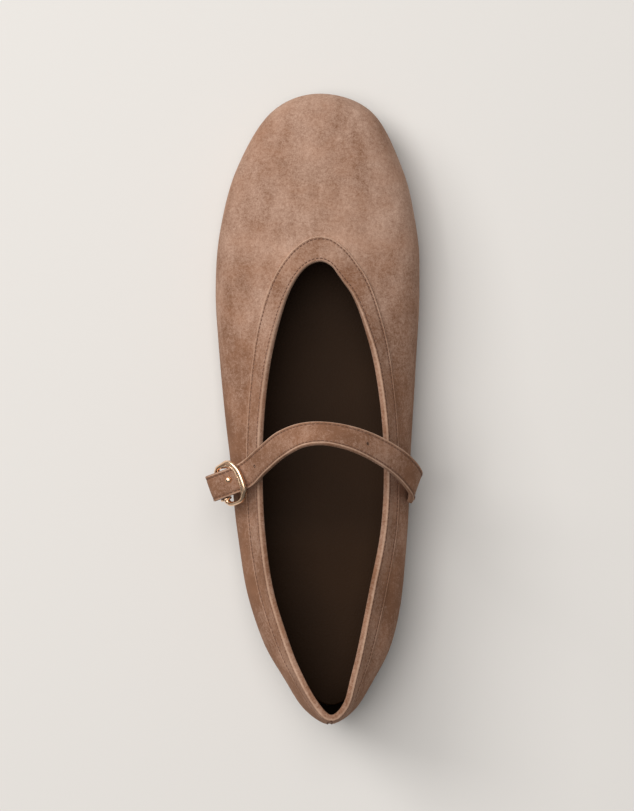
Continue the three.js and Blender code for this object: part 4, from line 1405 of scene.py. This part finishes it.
class FLAT_OT_strap(ShoeOperator, bpy.types.Operator):
    """The instep strap with its punched holes, and the tab that holds its buckle"""

    bl_idname = "flat.strap"
    bl_label = "Strap and tab"

    def make(self, sizes, finish):
        points, hints = strap_route()
        shares = even_shares(points, STRAP_STEPS)
        widths = strap_widths(shares)
        sections, lay, (centre, across, face) = strip_sections(
            points, hints, shares, widths, STRAP_THICKNESS, sizes
        )
        cups = []
        for spot in hole_shares(points):
            middle, cup = hole_cup(points, hints, spot, sizes.hole)
            cups.append(cup)
            reach = np.linalg.norm(sections - middle, axis=-1)
            on_top = np.einsum("nmk,nk->nm", sections - centre[:, None], face) > 0
            sunk = 1 - smooth_step(0.42, 0.62, (reach - STRAP_THICKNESS / 2) / sizes.hole + 0.35)
            sections = sections - face[:, None] * (sunk * on_top * HOLE_DEPTH)[..., None]
        strap = lofted_piece("strap_suede", sections, lay, caps=(True, True))
        place_piece(strap, finish["strap"], "suede", "strap")
        # The holes' dark cups are painted shade
        for number, cup in enumerate(cups, 1):
            hole = lofted_piece(f"strap_hole_{number}", cup, 0.0, caps=(True, True))
            place_piece(hole, finish["pinhole"], "suede")

        points, hints = tab_route()
        shares = even_shares(points, TAB_STEPS)
        sections, lay, _ = strip_sections(
            points, hints, shares, np.full(len(shares), TAB_WIDTH), TAB_THICKNESS, sizes, 19, rows=False
        )
        tab = lofted_piece("buckle_tab_suede", sections, lay, caps=(True, True))
        side = 2 * (BAR_CLEAR + TAB_THICKNESS)
        cutter = box_piece("slot", (PRONG_DIAMETER + 2 * CLEARANCE, side, side))
        cutter.data.transform(Matrix(np.column_stack((FRAME_ACROSS, FRAME_OUT, UP)).tolist()).to_4x4())
        cutter.data.transform(Matrix.Translation(Vector(BAR_CENTRE)))
        cut = tab.modifiers.new("slot", "BOOLEAN")
        cut.object, cut.operation, cut.solver = cutter, "DIFFERENCE", "EXACT"
        apply_modifiers(tab)
        bpy.data.objects.remove(cutter)
        place_piece(tab, finish["tab"], "band_suede", "buckle_tab")


def box_piece(name, size):
    """A plain block round the origin, for cutting."""
    corners = [
        (x * size[0] / 2, y * size[1] / 2, z * size[2] / 2) for x in (-1, 1) for y in (-1, 1) for z in (-1, 1)
    ]
    faces = [(0, 1, 3, 2), (4, 6, 7, 5), (0, 4, 5, 1), (2, 3, 7, 6), (0, 2, 6, 4), (1, 5, 7, 3)]
    return mesh_piece(name, corners, faces)


RING_RIBS, METAL_SIDES = 160, 40
RING_DEPTH, RING_INWARD, RING_GROOVE = 2.1 * MM, 0.35 * MM, 0.42
COLLAR_GAP, COLLAR_CORNER = 0.05 * MM, 0.3 * MM


def buckle_ring(sizes):
    """The buckle's ring: broad, flat and grooved on one side, round at its bar."""
    half_across = (FRAME_WIDTH - FRAME_WIRE) / 2

    def plan(angle):
        power = 2 / np.where(np.cos(angle) > 0, FRAME_POWER_BAR, FRAME_POWER_ROUND)
        bend = [np.sign(value) * np.abs(value) ** power for value in (np.cos(angle), np.sin(angle))]
        return np.stack((BAR_REACH * bend[0], half_across * bend[1]), axis=-1)

    angle = CIRCLE * (np.arange(RING_RIBS) + 0.5) / RING_RIBS
    centre = plan(angle)
    tangent = unit(plan(angle + PROBE) - plan(angle - PROBE))
    on_bar = smooth_step(0.9, 0.97, centre[:, 0] / BAR_REACH)[:, None]
    broad = smooth_step(3.5 * MM, -1 * MM, centre[:, 0]) * smooth_step(-6 * MM, -4 * MM, centre[:, 1])
    rim = mix(sizes.rim_narrow, sizes.rim_broad, broad[:, None])
    turn = circle(METAL_SIDES)
    groove = RING_GROOVE * broad[:, None] * bump(turn, math.pi / 2, 0.17)
    flat = np.sign(np.cos(turn)) * np.abs(np.cos(turn)) ** 0.8
    wide = mix(rim / 2 * flat, BAR_RADIUS * np.cos(turn), on_bar)
    high = mix(RING_DEPTH / 2 * np.sin(turn) * (1 - groove), BAR_RADIUS * np.sin(turn), on_bar)
    wide = wide - RING_INWARD * (1 - on_bar)
    along = centre[:, :1] + tangent[:, 1:] * wide
    across = centre[:, 1:] - tangent[:, :1] * wide
    return lofted_piece("buckle_frame_metal", at_frame(along, high, across), 0.0, ring=True, crease=70)


def buckle_prong(sizes):
    """The prong: a wire whose part over the hole swells into a ball."""
    points = prong_route()
    shares = even_shares(points, PRONG_STEPS)
    radii = PRONG_DIAMETER / 2 * mix(1.0, 0.8, shares)
    shank = path_points(points, shares)
    along = (shank - FRAME_CENTRE) @ FRAME_DOWN - sizes.head_along
    outside = (shank - FRAME_CENTRE) @ FRAME_OUT > 0
    head = shank[np.where(outside, np.abs(along), 1).argmin()]
    away = np.linalg.norm(shank - head, axis=1)
    radii = np.maximum(radii, np.sqrt(np.maximum(0, sizes.head**2 / 4 - away**2)))
    radii = radii * np.clip((1 - shares) / 0.02, 0.15, 1) ** 0.5
    shank = wire_sections(points, shares, radii, FRAME_ACROSS)
    return lofted_piece("buckle_prong_metal", shank, 0.0, caps=(True, True), crease=70)


def bar_collar(name, side):
    """A collar on the bar, on one side of the tab."""
    inner, outer, corner, far = BAR_RADIUS + COLLAR_GAP, COLLAR_DIAMETER / 2, COLLAR_CORNER, COLLAR_THICKNESS
    radius = np.array((inner, outer - corner, outer, outer, outer - corner, inner))
    depth = TAB_WIDTH / 2 + CLEARANCE + np.array((0, 0, corner, far - corner, far, far))
    turn = circle(METAL_SIDES)[:, None]
    loops = at_frame(BAR_REACH + np.cos(turn) * radius, np.sin(turn) * radius, side * depth[None, :])
    return lofted_piece(f"{name}_metal", loops, 0.0, ring=True)


class FLAT_OT_buckle(ShoeOperator, bpy.types.Operator):
    """The metal buckle: its grooved frame, the prong with its domed head, and the collars on the bar"""

    bl_idname = "flat.buckle"
    bl_label = "Buckle"

    def make(self, sizes, finish):
        parts = {"buckle_frame": buckle_ring(sizes), "buckle_prong": buckle_prong(sizes)}
        for side, name in ((1, "bar_collar_front"), (-1, "bar_collar_back")):
            parts[name] = bar_collar(name, side)
        for name, piece in parts.items():
            place_piece(piece, finish["metal"], "buckle_metal", name)


# Steps along the strap where its sewn end is sewn across. How far a row runs beside the back seam, as a share
# of the ring, and over the wall
SEWN_END_ROWS = (0, 26)
BACK_ROW, BACK_ROW_LIFT, BACK_ROW_RISES = 0.0035, 0.15 * MM, (0.05, 0.78)

# How deep the strap's rows are sunk, how far its cross rows stand over them, and the tab's rows from its edge
STRAP_ROW_SUNK, CROSS_ROW_LIFT, TAB_ROW_INSET = 0.08 * MM, 0.2 * MM, 1.2 * MM


class FLAT_OT_stitches(ShoeOperator, bpy.types.Operator):
    """All rows of stitches: along the topline, the strap, the tab and the back seam"""

    bl_idname = "flat.stitches"
    bl_label = "Stitches"

    def make(self, sizes, finish):
        place = np.arange(BAND_RING) / BAND_RING
        rows = []
        for inward in (sizes.outer_row, BAND_WIDTH - sizes.inner_row):
            rises = rise_below_top(place, below_topline(place, np.array((inward,))))[:, 0]
            height = np.full(len(place), float(band_height(np.array(inward), sizes)) + LAYER_GAP)
            rows.append((off_wall(place, rises, height), wall_normal(place, rises), True))
        self.sew_piece("topline_stitches", rows, finish, sizes, "band_suede")

        points, hints = strap_route()
        shares = even_shares(points, STRAP_ROW_STEPS)[4:-3]
        centre, across, face = ribbon_frames(points, hints, shares)
        half = strap_widths(shares)[:, None] / 2
        reach = half - np.minimum(sizes.edge_row, half * 0.5)
        lift = STRAP_THICKNESS / 2 - STRAP_ROW_SUNK
        rows = [(centre + across * reach * side + face * lift, face, False) for side in (-1, 1)]
        cross = np.linspace(-1, 1, 30)[:, None] * reach[0]
        for row in SEWN_END_ROWS:
            line = centre[row] + across[row] * cross + face[row] * (lift + CROSS_ROW_LIFT)
            rows.append((line, face[row], False))
        self.sew_piece("strap_stitches", rows, finish, sizes, "suede", "quiet_thread")

        points, hints = tab_route()
        shares = even_shares(points, TAB_ROW_STEPS)[8:-4]
        centre, across, face = ribbon_frames(points, hints, shares)
        reach = TAB_WIDTH / 2 - TAB_ROW_INSET
        lift = TAB_THICKNESS / 2 + LAYER_GAP
        rows = [(centre + across * side * reach + face * lift, face, False) for side in (-1, 1)]
        self.sew_piece("tab_stitches", rows, finish, sizes, "band_suede", "quiet_thread")

        rises = np.linspace(*BACK_ROW_RISES, BACK_ROW_STEPS)
        rows = []
        for beside in (-BACK_ROW, BACK_ROW):
            spots, lift = np.full(len(rises), beside), np.full(len(rises), BACK_ROW_LIFT)
            rows.append((off_wall(spots, rises, lift), wall_normal(spots, rises), False))
        self.sew_piece("back_seam_stitches", rows, finish, sizes, "suede")

    @staticmethod
    def sew_piece(name, rows, finish, sizes, slot, thread="thread"):
        """Sews rows into one piece. Quiet rows have pinholes in the thread's own tone, the others dark
        pinholes of painted shade.
        """
        dark = finish["pinhole" if thread == "thread" else thread]
        piece = sew(name, rows, finish[thread], dark, sewing(), sizes.pitch)
        place_piece(piece, None, slot)


# The studio

CAMERA_PLACE = Vector((37.0, 89.7, 1200.0)) * MM
CAMERA_TARGET = Vector((-5.0, 94.0, 30.0)) * MM
CAMERA_LENS, CAMERA_SENSOR, CAMERA_NEAR = 131.0, 36.0, 0.05
FLOOR_REACH = 6.0
WORLD_LIGHT, WORLD_TINT = 0.14, (1.0, 0.985, 0.96)
LIGHT_TINT, LIGHT_TARGET = (1.0, 0.975, 0.94), (0, 0.09, 0)

# The lights: place, width and power
LIGHTS = (
    ("key", (-1.33, 1.05, 1.4), 1.0, 20.0),
    ("ceiling", (-0.4, 0.52, 2.5), 1.95, 53.0),
)


def aim(thing, target):
    """Turns a camera or a light towards a point, with the toe at the picture's top."""
    back = (thing.location - Vector(target)).normalized()
    right = Vector((0, 1, 0)).cross(back).normalized()
    thing.rotation_euler = Matrix((right, back.cross(right), back)).transposed().to_euler()


def area_light(name, place, size, power):
    """A soft light that shines on the shoe."""
    light = bpy.data.lights.new(name, "AREA")
    light.shape, light.size, light.energy, light.color = "SQUARE", size, power, LIGHT_TINT
    lamp = bpy.data.objects.new(name, light)
    lamp.location = place
    bpy.context.scene.collection.objects.link(lamp)
    aim(lamp, LIGHT_TARGET)


class FLAT_OT_stage(bpy.types.Operator):
    """The floor, the soft lights and the camera of the photo"""

    bl_idname = "flat.stage"
    bl_label = "Stage"
    bl_options = {"REGISTER", "UNDO"}

    def execute(self, context):
        scene = context.scene
        corners = [(x * FLOOR_REACH, y * FLOOR_REACH, 0) for x, y in ((-1, -1), (1, -1), (1, 1), (-1, 1))]
        mesh = bpy.data.meshes.new("floor")
        mesh.from_pydata(corners, [], [(0, 1, 2, 3)])
        floor = bpy.data.objects.new("floor", mesh)
        scene.collection.objects.link(floor)
        finish = Finish("floor")
        floor.data.materials.append(finish.end(Base_Color=scene.shoe_colours.floor, Roughness=0.9))

        world = bpy.data.worlds.new("studio")
        world.use_nodes = True
        sky = world.node_tree.nodes["Background"]
        sky.inputs["Color"].default_value = (*WORLD_TINT, 1.0)
        sky.inputs["Strength"].default_value = WORLD_LIGHT
        scene.world = world
        scene.view_settings.view_transform = "Standard"
        for light in LIGHTS:
            area_light(*light)

        lens = bpy.data.cameras.new("camera")
        lens.lens, lens.sensor_width, lens.clip_start = CAMERA_LENS, CAMERA_SENSOR, CAMERA_NEAR
        camera = bpy.data.objects.new("camera", lens)
        camera.location = CAMERA_PLACE
        scene.collection.objects.link(camera)
        aim(camera, CAMERA_TARGET)
        scene.camera = camera
        return {"FINISHED"}


class FLAT_PT_panel(bpy.types.Panel):
    """Sizes, colours and the buttons that make the pieces"""

    bl_idname = "FLAT_PT_panel"
    bl_label = "Ballet Flat"
    bl_space_type = "VIEW_3D"
    bl_region_type = "UI"
    bl_category = "Ballet Flat"

    def draw(self, context):
        for title, group in (("Sizes", context.scene.shoe_sizes), ("Colours", context.scene.shoe_colours)):
            box = self.layout.box()
            box.label(text=title)
            for name in group.__annotations__:
                box.prop(group, name)
        for operator in OPERATORS:
            self.layout.operator(operator.bl_idname)


OPERATORS = (
    FLAT_OT_stage, FLAT_OT_upper, FLAT_OT_band, FLAT_OT_lining, FLAT_OT_sole, FLAT_OT_strap, FLAT_OT_buckle,
    FLAT_OT_stitches,
)
CLASSES = (ShoeSizes, ShoeColours, *OPERATORS, FLAT_PT_panel)


def register():
    """Adds the shoe's classes and its settings."""
    for item in CLASSES:
        bpy.utils.register_class(item)
    bpy.types.Scene.shoe_sizes = bpy.props.PointerProperty(type=ShoeSizes)
    bpy.types.Scene.shoe_colours = bpy.props.PointerProperty(type=ShoeColours)


def unregister():
    """Takes them away again."""
    del bpy.types.Scene.shoe_sizes, bpy.types.Scene.shoe_colours
    for item in reversed(CLASSES):
        bpy.utils.unregister_class(item)


def main():
    """Makes the whole shoe on its stage."""
    register()
    for operator in OPERATORS:
        group, name = operator.bl_idname.split(".")
        getattr(getattr(bpy.ops, group), name)()
    for tool in ("stitch", "pinhole"):
        bpy.data.objects.remove(SEWING[tool])


if __name__ == "__main__":
    main()
